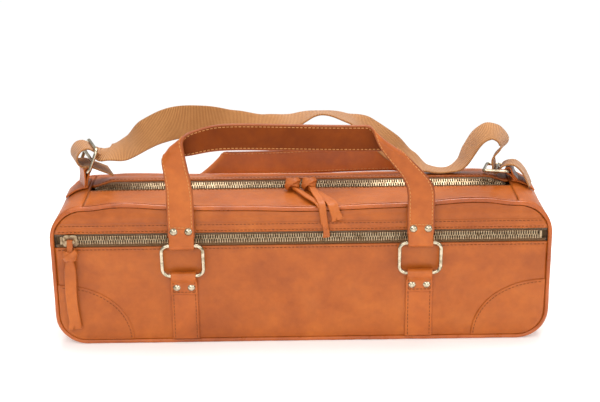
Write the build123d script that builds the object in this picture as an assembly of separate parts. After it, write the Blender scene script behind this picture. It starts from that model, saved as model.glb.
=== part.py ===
from build123d import *
import math
import os

# A soft leather case for a flute: a long zipped bag with a front pocket, two hand straps on
# metal rings and a webbing shoulder strap. Millimetres, +X right, +Y to the back, +Z up.
# The origin is the middle of the base, on the surface that the case stands on.

# --- Driving dimensions ---
LENGTH = 445.0            # over the two end gussets
DEPTH = 94.0              # over the front and rear piping
HEIGHT = 132.0            # to the top of the gusset
TOP_RADIUS = 31.0         # top corners of the front outline
BASE_RADIUS = 28.0        # bottom corners of the front outline
LEATHER = 1.6             # one layer of leather
GAP = 0.1                 # between sewn layers
SEAM_GAP = 0.3            # between pieces that move past each other

PIPING_RADIUS = 2.1
PANEL_SETBACK = 0.8       # face of a panel, behind the front of its piping
POCKET_HOLLOW = 2.0       # flat pocket behind the front leather
PADDING = 2.0             # foam of the front wall
LINING = 0.8
BASE_BOARD = 3.0
BOARD_MARGIN = 4.0

MAIN_ZIP_Y = 6.0          # centre line of the main zip
POCKET_ZIP_DROP = 31.5    # centre line of the pocket zip, below the top
ZIP_WINDOW = 13.0         # gap between the two leather edges of a zip
TAPE = 0.7
TAPE_LAP = 4.0            # tape sewn under the leather at each side
TOOTH_PITCH = 3.2
TOOTH_WIDTH = 1.3
TOOTH_LENGTH = 3.6
TOOTH_HEIGHT = 2.4
TOOTH_OVERLAP = 0.6       # past the centre line, between the teeth of the other row
BEAD = 1.1                # cord in the tape's edge that the teeth grip
ZIP_END = 6.0             # end of the main teeth, short of the flat top's end
POCKET_END = 4.3          # end of the pocket tape, inside the panel's edge
POCKET_MARGIN = 3.0       # end of the pocket teeth, short of the tape's end
STOP_LENGTH = 2.0

SLIDER_LENGTH = 13.0
SLIDER_WIDTH = 11.0
SLIDER_PLATE = 1.0
SLIDER_CLEARANCE = 0.3
BAIL_LENGTH = 9.0
BAIL_HEIGHT = 3.2
BAIL_WIRE = 1.4
BAIL_WIDTH = 2.6
SLIDER_START = 7.5        # middle of each main slider from the middle of the zip

THONG = 1.2               # leather of a pull, pared thin through the bail
THONG_WIDTH = 5.4
THONG_FIT = 0.3
PULL_WIDTH = 7.0
PULL_THICKNESS = 2.2
PULL_FALL = 24.5          # main pulls, down the front face from the top
POCKET_PULL_LENGTH = 74.0
POCKET_PULL_WIDTH = 11.0
KNOT_RADIUS = 5.0
KNOT_FIT = 0.4

STRAP_X = 105.0           # each hand strap leg, from the middle
STRAP_WIDTH = 24.0
STRAP_THICKNESS = 3.2
LOOP_WIDTH = 22.0
HANDLE_RISE = 108.5       # ring bar to the top edge of the hand strap
FOLD_RADIUS = 4.6         # rolled corner, to the middle of the leather
REAR_LEAN = 12.0          # rear hand strap, degrees back from upright

RING_WIDTH = 36.5         # on the wire's centre line
RING_HEIGHT = 29.5
RING_CORNER = 6.5
RING_WIRE = 1.75
RING_FIT = 0.25           # wire in its leather loop
RING_STANDOFF = 5.1       # lower bar, in front of the panel
RING_DROP = 32.5          # lower bar, below the pocket zip
FRONT_RING_TILT = 5.0     # degrees forward of upright
REAR_RING_TILT = 165.0    # degrees, hanging down behind

CHAPE_FOOT_Z = 4.6
CHAPE_DOUBLE_DROP = 19.0  # bottom of the doubled leather, below the ring's bar
CHAPE_FLAT_DROP = 8.0     # where it leaves the panel
RIVET_RADIUS = 3.5
RIVET_RISE = 1.9
RIVET_SPACING = 13.0
CHAPE_RIVET_DROP = 12.5   # below the ring's bar
HANDLE_RIVET_RISE = 13.5  # above the ring's bar
SHANK = 1.2
HEAD = 3.0                # plain head of a rivet, behind
HEAD_DEPTH = 0.8
RIVET_FIT = 0.05

PATCH_LENGTH = 66.0       # corner patch along the base
PATCH_HEIGHT = 54.0
PATCH_THICKNESS = 1.0

TAB_WIDTH = 26.0          # strap anchors on the top corners
TAB_THICKNESS = 1.8
TAB_FROM = 4.0            # degrees round the corner, from the top
TAB_TO = 46.0
WEB_WIDTH = 30.0
WEB_THICKNESS = 1.6
BUCKLE_WIDTH = 38.0
BUCKLE_LENGTH = 22.0
BUCKLE_WIRE = 1.6
BUCKLE_CORNER = 3.5
BUCKLE_FIT = 0.2
LEFT_BUCKLE_IN = 29.0     # each buckle's middle: in from the end of the case
LEFT_BUCKLE_Y = 19.0
LEFT_BUCKLE_RISE = 26.5   # above the top
LEFT_BAR_WAY = (0.33, -0.94, 0.0)
LEFT_BUCKLE_UP = (0.36, 0.12, 0.92)
RIGHT_BUCKLE_IN = 40.5
RIGHT_BUCKLE_Y = 23.0
RIGHT_BUCKLE_RISE = 8.5
RIGHT_BAR_WAY = (0.22, 0.96, -0.14)
RIGHT_BUCKLE_UP = (0.97, -0.22, 0.0)
ANCHOR_OUT = 7.0          # where each anchor rises, past the flat of the top
ANCHOR_SINK = 4.0         # start of that rise, before it is cut to the corner's shape

# Shoulder strap, left to right. Each place on its middle line is measured along the case from
# the left end (-1), the middle (0) or the right end (1), then back, then up from the top.
# After it comes the direction across the strap.
WEB_ROUTE = [
    (-1, (47.0, 20.0, 33.5), (-0.32, 0.90, 0.30)),
    (-1, (65.0, 18.5, 41.0), (-0.30, 0.62, 0.72)),
    (-1, (84.5, 17.0, 52.0), (-0.25, 0.42, 0.87)),
    (0, (-113.0, 18.0, 58.0), (-0.05, 0.32, 0.95)),
    (0, (-88.0, 20.0, 57.0), (0.12, 0.30, 0.95)),
    (0, (-60.0, 23.0, 52.5), (0.15, 0.35, 0.92)),
    (0, (-30.0, 25.0, 50.0), (0.00, 0.50, 0.87)),
    (0, (-4.0, 25.5, 55.5), (-0.10, 0.78, 0.62)),
    (0, (20.0, 25.0, 63.0), (0.00, 0.95, 0.31)),
    (0, (44.0, 26.0, 58.0), (0.20, 0.88, 0.43)),
    (0, (66.0, 28.5, 44.0), (0.35, 0.62, 0.70)),
    (0, (88.0, 31.0, 29.0), (0.35, 0.45, 0.82)),
    (0, (112.0, 33.0, 20.0), (0.15, 0.50, 0.85)),
    (1, (-89.5, 34.0, 16.0), (0.00, 0.78, 0.62)),
    (1, (-73.5, 33.0, 20.0), (-0.25, 0.92, 0.30)),
    (1, (-64.0, 31.0, 33.0), (-0.25, 0.96, 0.10)),
    (1, (-55.5, 28.5, 45.5), (-0.15, 0.98, 0.05)),
    (1, (-45.5, 26.5, 46.5), (0.05, 0.99, 0.00)),
    (1, (-40.0, 24.5, 36.5), (0.20, 0.97, 0.00)),
]

# --- Derived places ---
POCKET_ZIP_Z = HEIGHT - POCKET_ZIP_DROP
RING_BAR_Z = POCKET_ZIP_Z - RING_DROP
CHAPE_DOUBLE_Z = RING_BAR_Z - CHAPE_DOUBLE_DROP
CHAPE_FLAT_Z = RING_BAR_Z - CHAPE_FLAT_DROP
CHAPE_RIVET_Z = RING_BAR_Z - CHAPE_RIVET_DROP
PANEL_Y = DEPTH / 2 - PANEL_SETBACK
PANEL_BACK = PANEL_Y - LEATHER
PANEL_INSET = 2 * PIPING_RADIUS + 0.05
PIPING_Y = DEPTH / 2 - PIPING_RADIUS
GUSSET_Y = DEPTH / 2 - 2 * PIPING_RADIUS - 0.05
PADDING_FRONT = PANEL_BACK - POCKET_HOLLOW
LINING_Y = PADDING_FRONT - PADDING - GAP
LINING_INSET = LEATHER + GAP
FLAT_X = LENGTH / 2 - TOP_RADIUS
FLAP_X = FLAT_X - SEAM_GAP
HINGE_Y = -(GUSSET_Y - LEATHER / 2 - SEAM_GAP)
HINGE_Z = HEIGHT - LEATHER / 2
TAPE_TOP = HEIGHT - LEATHER - GAP
TEETH_HALF = FLAT_X - ZIP_END
POCKET_HALF = LENGTH / 2 - PANEL_INSET - POCKET_END
POCKET_TEETH_HALF = POCKET_HALF - POCKET_MARGIN
RING_TOP_Y = -(PANEL_Y + RING_STANDOFF) - RING_HEIGHT * math.sin(math.radians(FRONT_RING_TILT))
RING_TOP_Z = RING_BAR_Z + RING_HEIGHT * math.cos(math.radians(FRONT_RING_TILT))
REAR_TOP_Y = PANEL_Y + RING_STANDOFF + RING_HEIGHT * math.sin(math.radians(REAR_RING_TILT))
REAR_TOP_Z = RING_BAR_Z + RING_HEIGHT * math.cos(math.radians(REAR_RING_TILT))
EYE_BORE = RING_WIRE + RING_FIT
EYE_RADIUS = EYE_BORE + LEATHER


def save(shape, node):
    export_step(shape, "parts/" + node + ".step")


# --- Outlines and layers ---

def outline(inset):
    """Front outline of the case, drawn smaller by the inset."""
    face = Pos(0, HEIGHT / 2) * Rectangle(LENGTH - 2 * inset, HEIGHT - 2 * inset)
    face = fillet(face.vertices().group_by(Axis.Y)[-1], TOP_RADIUS - inset)
    return fillet(face.vertices().group_by(Axis.Y)[0], BASE_RADIUS - inset)


def slab(face, y0, y1):
    """A flat face, drawn in X and Z, made solid from y0 to y1."""
    return extrude(Plane.XZ.offset(-y1) * face, amount=y1 - y0)


def band(inset, thickness, y0, y1):
    """A closed wall of the given thickness round the outline."""
    return slab(outline(inset), y0, y1) - slab(outline(inset + thickness), y0 - 1, y1 + 1)


def box(x0, x1, y0, y1, z0, z1):
    """A box between the given corners."""
    centre = Pos((x0 + x1) / 2, (y0 + y1) / 2, (z0 + z1) / 2)
    return centre * Box(x1 - x0, y1 - y0, z1 - z0)


def prism(points, x0, x1):
    """A polygon, drawn in Y and Z, made solid from x0 to x1."""
    return extrude(Plane.YZ.offset(x0) * make_face(Polyline(*points, close=True)), amount=x1 - x0)


def rod(radius, x0, x1, y, z):
    """A round bar along X."""
    return extrude(Plane.YZ.offset(x0) * Pos(y, z) * Circle(radius), amount=x1 - x0)


# --- Body of the case ---

def piping(side):
    """Leather-covered cord, sewn in round one panel. side is -1 in front and 1 behind."""
    line = outline(PIPING_RADIUS).face().outer_wire()
    path = Plane.XZ.offset(-side * PIPING_Y) * line
    profile = Plane(origin=path @ 0, z_dir=path % 0) * Circle(PIPING_RADIUS)
    return sweep(profile, path=path)


def gusset():
    """Base, ends and top corners in one strip, open along the top."""
    wall = band(0, LEATHER, -GUSSET_Y, GUSSET_Y)
    return wall - box(-FLAT_X, FLAT_X, -DEPTH, DEPTH, HEIGHT / 2, HEIGHT + 1)


def panel_part(z0, z1):
    """Front leather between two heights, inside the piping."""
    face = outline(PANEL_INSET)
    keep = Pos(0, (z0 + z1) / 2) * Rectangle(LENGTH, z1 - z0)
    return slab(face & keep, -PANEL_Y, -PANEL_BACK)


def rear_panel():
    return slab(outline(PANEL_INSET), PANEL_BACK, PANEL_Y)


def front_padding():
    return slab(outline(PANEL_INSET), -PADDING_FRONT, -PADDING_FRONT + PADDING)


def rear_padding():
    return slab(outline(PANEL_INSET), LINING_Y + GAP, PANEL_BACK - GAP)


def lining():
    """Cloth lining: a thin tray, open at the top where the case opens."""
    inner = slab(outline(LINING_INSET + LINING), -LINING_Y + LINING, LINING_Y - LINING)
    shell = slab(outline(LINING_INSET), -LINING_Y, LINING_Y) - inner
    top = HEIGHT - LINING_INSET - LINING - 6
    return shell - box(-FLAT_X, FLAT_X, -DEPTH, DEPTH, top, HEIGHT)


def base_board():
    floor = LINING_INSET + LINING + GAP
    half = LENGTH / 2 - BASE_RADIUS - BOARD_MARGIN
    depth = LINING_Y - LINING - BOARD_MARGIN
    return box(-half, half, -depth, depth, floor, floor + BASE_BOARD)


def corner_patch(side):
    """Quarter-round leather patch over a bottom corner of the front."""
    ellipse = Ellipse(PATCH_LENGTH, PATCH_HEIGHT)
    corner = Pos(side * (LENGTH / 2 - PANEL_INSET), PANEL_INSET) * ellipse
    face = outline(PANEL_INSET + 0.3) & corner
    return slab(face, -PANEL_Y - PATCH_THICKNESS, -PANEL_Y)


def top_front_flap():
    """Leather strip between the front seam and the zip, with a rounded seam edge."""
    edge = MAIN_ZIP_Y - ZIP_WINDOW / 2
    strip = box(-FLAP_X, FLAP_X, HINGE_Y, edge, HEIGHT - LEATHER, HEIGHT)
    return strip + rod(LEATHER / 2, -FLAP_X, FLAP_X, HINGE_Y, HINGE_Z)


def top_rear_strip():
    edge = MAIN_ZIP_Y + ZIP_WINDOW / 2
    return box(-FLAT_X, FLAT_X, edge, GUSSET_Y, HEIGHT - LEATHER, HEIGHT)


# --- Zips ---

def teeth_row(half, side, start):
    """One row of teeth with the cord that they grip, as a comb lying flat at the origin."""
    spine = TOOTH_LENGTH - BEAD
    count = int((2 * half - start - TOOTH_WIDTH) // TOOTH_PITCH) + 1
    points = [(half, TOOTH_LENGTH), (-half, TOOTH_LENGTH), (-half, spine)]
    for i in range(count):
        x = -half + start + i * TOOTH_PITCH
        points += [(x, spine), (x, -TOOTH_OVERLAP), (x + TOOTH_WIDTH, -TOOTH_OVERLAP), (x + TOOTH_WIDTH, spine)]
    points.append((half, spine))
    comb = make_face(Polyline(*[(x, side * y) for x, y in points], close=True))
    return extrude(comb, amount=TOOTH_HEIGHT / 2, both=True)


def stop(x, low, high):
    """Square metal stop past the end of the teeth, between two distances across the zip."""
    return box(x - STOP_LENGTH / 2, x + STOP_LENGTH / 2, low, high, -TOOTH_HEIGHT / 2, TOOTH_HEIGHT / 2)


def slider_plate():
    level = TOOTH_HEIGHT / 2 + SLIDER_CLEARANCE + SLIDER_PLATE / 2
    plate = Pos(0, 0, level) * Box(SLIDER_LENGTH, SLIDER_WIDTH, SLIDER_PLATE)
    return fillet(plate.edges().filter_by(Axis.Z), 3.0)


def slider():
    """Zip slider: a plate over and under the teeth, side flanges, and the bail for the pull."""
    low = TAPE / 2 + SLIDER_CLEARANCE
    high = PLATE_TOP
    half = SLIDER_WIDTH / 2
    length = SLIDER_LENGTH / 2 - 3.2
    flange = box(-length, length, half - SLIDER_PLATE, half, low, high)
    flanges = flange + mirror(flange, about=Plane.XZ)
    middle = Pos(0, 0, high + BAIL_HEIGHT / 2)
    arch = middle * Box(BAIL_LENGTH, BAIL_WIDTH, BAIL_HEIGHT)
    arch = fillet(arch.edges().filter_by(Axis.Y).group_by(Axis.Z)[-1], 1.2)
    inside = Box(BAIL_LENGTH - 2 * BAIL_WIRE, BAIL_WIDTH + 2, BAIL_HEIGHT - BAIL_WIRE)
    arch -= Pos(0, 0, high + (BAIL_HEIGHT - BAIL_WIRE) / 2) * inside
    upper = slider_plate() + flanges + arch
    lower = mirror(slider_plate() + flanges, about=Plane.XY)
    return upper, lower


PLATE_TOP = TOOTH_HEIGHT / 2 + SLIDER_CLEARANCE + SLIDER_PLATE
BRIDGE = PLATE_TOP + BAIL_HEIGHT - BAIL_WIRE / 2
MAIN_TEETH = Pos(0, MAIN_ZIP_Y, TAPE_TOP - TAPE / 2)
POCKET_TAPE_Y = -(PANEL_BACK - GAP)
POCKET_TEETH = Pos(0, POCKET_TAPE_Y + TAPE / 2, POCKET_ZIP_Z) * Rot(X=90)
POCKET_SLIDER_X = -(POCKET_TEETH_HALF - SLIDER_LENGTH / 2 - 0.5)


def zip_tapes(half):
    """Both tapes of a zip, drawn flat with the teeth's middle at the origin."""
    edge = TOOTH_LENGTH + GAP
    outer = ZIP_WINDOW / 2 + TAPE_LAP
    rear = box(-half, half, edge, outer, -TAPE / 2, TAPE / 2)
    return mirror(rear, about=Plane.XZ), rear


def thong_loop():
    """Pared leather loop round the bridge of a slider's bail, drawn at the origin along X."""
    half_y = BAIL_WIDTH / 2 + THONG_FIT + THONG
    half_z = BAIL_WIRE / 2 + THONG_FIT + THONG
    outer = Box(THONG_WIDTH, 2 * half_y, 2 * half_z)
    outer = fillet(outer.edges().filter_by(Axis.X), 1.0)
    return outer - Box(THONG_WIDTH + 1, 2 * (half_y - THONG), 2 * (half_z - THONG))


def knot():
    """Knot in a pull, as a plain rounded lump."""
    lump = Box(2 * KNOT_RADIUS, 2 * KNOT_RADIUS, 2 * KNOT_RADIUS)
    return fillet(lump.edges(), KNOT_RADIUS * 0.6)


def main_pull(x):
    """Knotted leather pull, lying over the front edge of the top and down the front."""
    bridge_z = TAPE_TOP - TAPE / 2 + BRIDGE
    loop = Pos(x, MAIN_ZIP_Y, bridge_z) * thong_loop()
    knot_y = MAIN_ZIP_Y - BAIL_WIDTH / 2 - THONG_FIT - THONG - 4.0
    knot_z = TAPE_TOP - TAPE / 2 + PLATE_TOP + SEAM_GAP + KNOT_RADIUS
    tied = Pos(x, knot_y, knot_z) * knot()
    under = HEIGHT + KNOT_FIT
    front = -DEPTH / 2 - KNOT_FIT
    low = HEIGHT - PULL_FALL
    t = PULL_THICKNESS
    tail = prism(
        [
            (knot_y, under), (front + 2.1, under), (front, under - 1.9), (front, low),
            (front - t, low), (front - t, under - 1.0), (front + 1.1, under + t), (knot_y, under + t),
        ],
        x - PULL_WIDTH / 2, x + PULL_WIDTH / 2,
    )
    return tail + tied + loop


def pocket_pull():
    """Long knotted leather pull, hanging from the pocket slider."""
    bridge_y = POCKET_TAPE_Y + TAPE / 2 - BRIDGE
    loop = Pos(POCKET_SLIDER_X, bridge_y, POCKET_ZIP_Z) * Rot(X=90) * thong_loop()
    knot_y = POCKET_TAPE_Y + TAPE / 2 - PLATE_TOP - SEAM_GAP - KNOT_RADIUS
    knot_z = POCKET_ZIP_Z - BAIL_WIDTH / 2 - THONG_FIT - THONG - 4.0
    tied = Pos(POCKET_SLIDER_X, knot_y, knot_z) * knot()
    half = POCKET_PULL_WIDTH / 2
    tail = box(
        POCKET_SLIDER_X - half, POCKET_SLIDER_X + half,
        knot_y - PULL_THICKNESS / 2, knot_y + PULL_THICKNESS / 2,
        POCKET_ZIP_Z - POCKET_PULL_LENGTH, knot_z,
    )
    tail = fillet(tail.edges().filter_by(Axis.Y).group_by(Axis.Z)[0], 3.0)
    return tail + tied + loop


# --- Rings, chapes and rivets ---

def ring(width, height, corner, wire):
    """Rounded rectangular ring, standing in X and Z on its lower bar at the origin."""
    line = Pos(0, height / 2) * RectangleRounded(width, height, corner)
    path = Plane.XZ * line.face().outer_wire()
    return sweep(Plane(origin=path @ 0, z_dir=path % 0) * Circle(wire), path=path)


def rivet(through):
    """Domed rivet along Y: dome in front of y 0, shank through the layers, head behind."""
    ball = (RIVET_RADIUS ** 2 + RIVET_RISE ** 2) / (2 * RIVET_RISE)
    dome = Pos(0, ball - RIVET_RISE, 0) * Sphere(ball) & box(-9, 9, -9, 0, -9, 9)
    shank = Rot(X=-90) * Cylinder(SHANK, through, align=(Align.CENTER, Align.CENTER, Align.MIN))
    head = Rot(X=-90) * Cylinder(HEAD, HEAD_DEPTH, align=(Align.CENTER, Align.CENTER, Align.MIN))
    return dome + shank + Pos(0, through, 0) * head


def along_rivets(thing, y, z):
    """The same thing at each rivet of both legs, on the front."""
    spots = [sx * STRAP_X + s * RIVET_SPACING / 2 for sx in (-1, 1) for s in (-1, 1)]
    return [Pos(x, y, z) * thing for x in spots]


def bore(radius, length):
    return Rot(X=-90) * Cylinder(radius, length)


def chape(x):
    """Strap sewn to the front below a ring, doubled at its rivets and looped round the bar."""
    face = -PANEL_Y
    bar_y = face - RING_STANDOFF
    outer = EYE_RADIUS
    single = face - LEATHER
    double = face - 2 * LEATHER
    half = STRAP_WIDTH / 2
    body = prism(
        [(face, CHAPE_FOOT_Z), (face, CHAPE_FLAT_Z), (double, CHAPE_FLAT_Z),
         (double, CHAPE_DOUBLE_Z), (single, CHAPE_DOUBLE_Z), (single, CHAPE_FOOT_Z)],
        x - half, x + half,
    )
    neck = prism(
        [(face, CHAPE_FLAT_Z), (double, CHAPE_FLAT_Z), (bar_y - 0.93 * outer, RING_BAR_Z - 0.35 * outer),
         (bar_y + 0.93 * outer, RING_BAR_Z + 0.35 * outer)],
        x - LOOP_WIDTH / 2, x + LOOP_WIDTH / 2,
    )
    eye = rod(outer, x - LOOP_WIDTH / 2, x + LOOP_WIDTH / 2, bar_y, RING_BAR_Z)
    strap = body + neck + eye - rod(EYE_BORE, x - half, x + half, bar_y, RING_BAR_Z)
    return strap - along_rivets(bore(SHANK + RIVET_FIT, 20), face, CHAPE_RIVET_Z)


def front_ring(x):
    standing = ring(RING_WIDTH, RING_HEIGHT, RING_CORNER, RING_WIRE)
    return Pos(x, -PANEL_Y - RING_STANDOFF, RING_BAR_Z) * Rot(X=FRONT_RING_TILT) * standing


def rear_ring(x):
    standing = ring(RING_WIDTH, RING_HEIGHT, RING_CORNER, RING_WIRE)
    return Pos(x, PANEL_Y + RING_STANDOFF, RING_BAR_Z) * Rot(X=-REAR_RING_TILT) * standing


def chape_rivets():
    one = rivet(3 * LEATHER)
    return along_rivets(one, -PANEL_Y - 2 * LEATHER, CHAPE_RIVET_Z)


# --- Hand straps ---

FOLD_SHIFT = math.pi * FOLD_RADIUS / math.sqrt(2)
FOLD_FOOT = HANDLE_RISE - STRAP_WIDTH - FOLD_SHIFT


def strap_leg(x):
    """Upright part of a hand strap at its left leg, from the loop to the rolled corner."""
    out, inn = x - STRAP_WIDTH / 2, x + STRAP_WIDTH / 2
    t = STRAP_THICKNESS / 2
    foot = EYE_RADIUS + 4.5
    face = make_face(Polyline(
        (out, foot), (inn, foot), (inn, FOLD_FOOT + STRAP_WIDTH), (out, FOLD_FOOT), close=True))
    neck = prism(
        [(-0.97 * EYE_RADIUS, 0.2 * EYE_RADIUS), (-t, foot), (t, foot), (0.97 * EYE_RADIUS, 0.2 * EYE_RADIUS)],
        x - LOOP_WIDTH / 2, x + LOOP_WIDTH / 2,
    )
    eye = rod(EYE_RADIUS, x - LOOP_WIDTH / 2, x + LOOP_WIDTH / 2, 0, 0)
    leg = slab(face, -t, t) + neck + eye
    return leg - rod(EYE_BORE, x - STRAP_WIDTH, x + STRAP_WIDTH, 0, 0)


def rolled_corner(x):
    """Half turn of the strap about a slanting line, so that it leaves at a right angle.

    The edges of the strap run round the roll at a slant, so the strap comes off it further
    along the line than it went on.
    """
    t = STRAP_THICKNESS / 2
    along = Vector(1, 0, 1).normalized()
    start = Vector(x - STRAP_WIDTH / 2, 0, FOLD_FOOT)
    length = STRAP_WIDTH * math.sqrt(2)
    slant = math.pi / 2
    reach = FOLD_RADIUS * 2
    profile = Pos(FOLD_RADIUS, 0) * (Circle(FOLD_RADIUS + t) - Circle(FOLD_RADIUS - t))
    profile &= Pos(FOLD_RADIUS, length) * Rectangle(2 * length, 2 * length)
    roll_plane = Plane(origin=start - along * 20, x_dir=(0, 1, 0), z_dir=along)
    shell = extrude(roll_plane * profile, amount=length + reach * slant + 40)
    low, high = -t, reach + t
    cut = make_face(Polyline(
        (low, low * slant), (high, high * slant), (high, length + high * slant),
        (low, length + low * slant), close=True))
    cut_plane = Plane(origin=start, x_dir=(0, 1, 0), z_dir=Vector(1, 0, -1))
    return shell & extrude(cut_plane * cut, amount=40, both=True)


def hand_strap():
    """One hand strap standing on its two bars, which lie along X at the origin's height."""
    t = STRAP_THICKNESS / 2
    half = STRAP_X + STRAP_WIDTH / 2 - FOLD_SHIFT
    low = FOLD_FOOT + FOLD_SHIFT
    face = make_face(Polyline(
        (-half, low), (half, low), (half - STRAP_WIDTH, HANDLE_RISE), (STRAP_WIDTH - half, HANDLE_RISE),
        close=True))
    run = slab(face, 2 * FOLD_RADIUS - t, 2 * FOLD_RADIUS + t)
    left = strap_leg(-STRAP_X) + rolled_corner(-STRAP_X)
    strap = run + left + mirror(left, about=Plane.YZ)
    return strap - along_rivets(bore(SHANK + RIVET_FIT, 20), 0, HANDLE_RIVET_RISE)


def handle_rivets():
    return along_rivets(rivet(STRAP_THICKNESS), -STRAP_THICKNESS / 2, HANDLE_RIVET_RISE)


FRONT_HANDLE = Pos(0, RING_TOP_Y, RING_TOP_Z)
REAR_HANDLE = Pos(0, REAR_TOP_Y, REAR_TOP_Z) * Rot(X=-REAR_LEAN) * Rot(Z=180)


# --- Shoulder strap ---

def across_frame(point, across, way):
    """A plane at the point, square to the way, with its X along the strap's width."""
    way = Vector(way).normalized()
    across = Vector(across)
    return Plane(origin=point, x_dir=across - way * across.dot(way), z_dir=way)


def buckle_frame(centre, bar, up):
    """Plane of a slide buckle: X along its bars, Y from one bar to the next."""
    bar = Vector(bar).normalized()
    up = Vector(up)
    up = (up - bar * up.dot(bar)).normalized()
    return Plane(origin=centre, x_dir=bar, z_dir=bar.cross(up))


LEFT_BUCKLE = (LEFT_BUCKLE_IN - LENGTH / 2, LEFT_BUCKLE_Y, HEIGHT + LEFT_BUCKLE_RISE)
RIGHT_BUCKLE = (LENGTH / 2 - RIGHT_BUCKLE_IN, RIGHT_BUCKLE_Y, HEIGHT + RIGHT_BUCKLE_RISE)
LEFT_FRAME = buckle_frame(LEFT_BUCKLE, LEFT_BAR_WAY, LEFT_BUCKLE_UP)
RIGHT_FRAME = buckle_frame(RIGHT_BUCKLE, RIGHT_BAR_WAY, RIGHT_BUCKLE_UP)


def slide_buckle(frame):
    """Wire frame with a middle bar."""
    flat = ring(BUCKLE_WIDTH, BUCKLE_LENGTH, BUCKLE_CORNER, BUCKLE_WIRE)
    flat = Rot(X=-90) * Pos(0, 0, -BUCKLE_LENGTH / 2) * flat
    bar = Rot(Y=90) * Cylinder(BUCKLE_WIRE, BUCKLE_WIDTH)
    return frame.location * (flat + bar)


def to_back(frame):
    """Direction of a buckle's bars, towards the back of the case."""
    return frame.x_dir if frame.x_dir.Y > 0 else -frame.x_dir


def web_points(frame, turns):
    """Places on the strap where it passes through a buckle, from (out, along) pairs."""
    return [(frame.from_local_coords((0, along, out)), to_back(frame)) for out, along in turns]


LEFT_TURNS = [(-24, -8), (-12, -6.9), (-1, -6.3), (6, -8.4), (11.5, -6), (13.5, 0), (11.5, 6.2), (6, 9.4),
              (-1, 8.3), (-9, 6.6)]
RIGHT_TURNS = [(-10, -3.6), (-3, -3.0), (1.5, -2.5), (2.9, 0), (1.5, 2.5), (-3, 3.4), (-9, 6)]


def shoulder_strap():
    """Webbing from its tail at the left buckle, along the top, to its tail at the right one."""
    middle = [
        ((end * LENGTH / 2 + x, y, HEIGHT + rise), across) for end, (x, y, rise), across in WEB_ROUTE
    ]
    route = web_points(LEFT_FRAME, LEFT_TURNS) + middle + web_points(RIGHT_FRAME, RIGHT_TURNS)
    path = Spline(*[Vector(*point) for point, _ in route])
    sections = []
    for point, across in route:
        way = path.tangent_at(path.param_at_point(Vector(*point)))
        sections.append(across_frame(point, across, way) * Rectangle(WEB_WIDTH, WEB_THICKNESS))
    return loft(sections, ruled=True)


def corner_tab(side):
    """Leather sewn round a top corner of the case, under the strap's anchor."""
    centre = Pos(side * FLAT_X, HEIGHT - TOP_RADIUS)
    face = centre * (Circle(TOP_RADIUS + TAB_THICKNESS) - Circle(TOP_RADIUS))
    reach = 2 * TOP_RADIUS
    low, high = math.radians(TAB_FROM), math.radians(TAB_TO)
    wedge = make_face(Polyline(
        (0, 0), (side * reach * math.sin(low), reach * math.cos(low)),
        (side * reach * math.sin(high), reach * math.cos(high)), close=True))
    return face & centre * wedge


def end_tab(side, frame, bar_along):
    """Anchor on a top corner: a sewn patch and the doubled strap that holds a buckle's bar."""
    bar = frame.from_local_coords((0, bar_along, 0))
    middle = bar.Y
    patch = slab(corner_tab(side), middle - TAB_WIDTH / 2, middle + TAB_WIDTH / 2)
    back = to_back(frame)
    way = Vector(back.X, back.Y, 0).normalized()
    square = Plane(origin=(bar.X, bar.Y, 0), x_dir=(way.Y, -way.X, 0), z_dir=-way)
    t = TAB_THICKNESS * 0.75
    foot = side * (FLAT_X + ANCHOR_OUT) - bar.X
    low = HEIGHT - ANCHOR_SINK
    shape = make_face(Polyline(
        (foot - t, low), (foot + t, low), (t, bar.Z), (-t, bar.Z), close=True))
    leg = extrude(square * shape, amount=TAB_WIDTH / 2, both=True)
    leg -= slab(outline(0), -DEPTH, DEPTH)
    tube = BUCKLE_WIRE + BUCKLE_FIT
    turn = frame.location * Pos(0, bar_along, 0) * Rot(Y=90)
    eye = turn * Cylinder(tube + LEATHER, TAB_WIDTH)
    hole = turn * Cylinder(tube, 2 * TAB_WIDTH)
    return patch + leg + eye - hole


# --- The whole case ---

def padded_front():
    """Foam of the front wall, slotted for the inner plate of the pocket slider."""
    slot_z = SLIDER_WIDTH / 2 + SEAM_GAP
    slot = box(-POCKET_HALF, POCKET_HALF, -DEPTH, 0, POCKET_ZIP_Z - slot_z, POCKET_ZIP_Z + slot_z)
    return front_padding() - slot


def padded_rear():
    """Foam of the rear wall, hollowed for the heads of the rivets."""
    hollow = Rot(X=-90) * Cylinder(HEAD + RIVET_FIT, 2 * (HEAD_DEPTH + GAP))
    return rear_padding() - Rot(Z=180) * Compound(along_rivets(hollow, -PANEL_BACK, CHAPE_RIVET_Z))


def main_teeth(side, start):
    return MAIN_TEETH * teeth_row(TEETH_HALF, side, start)


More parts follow.
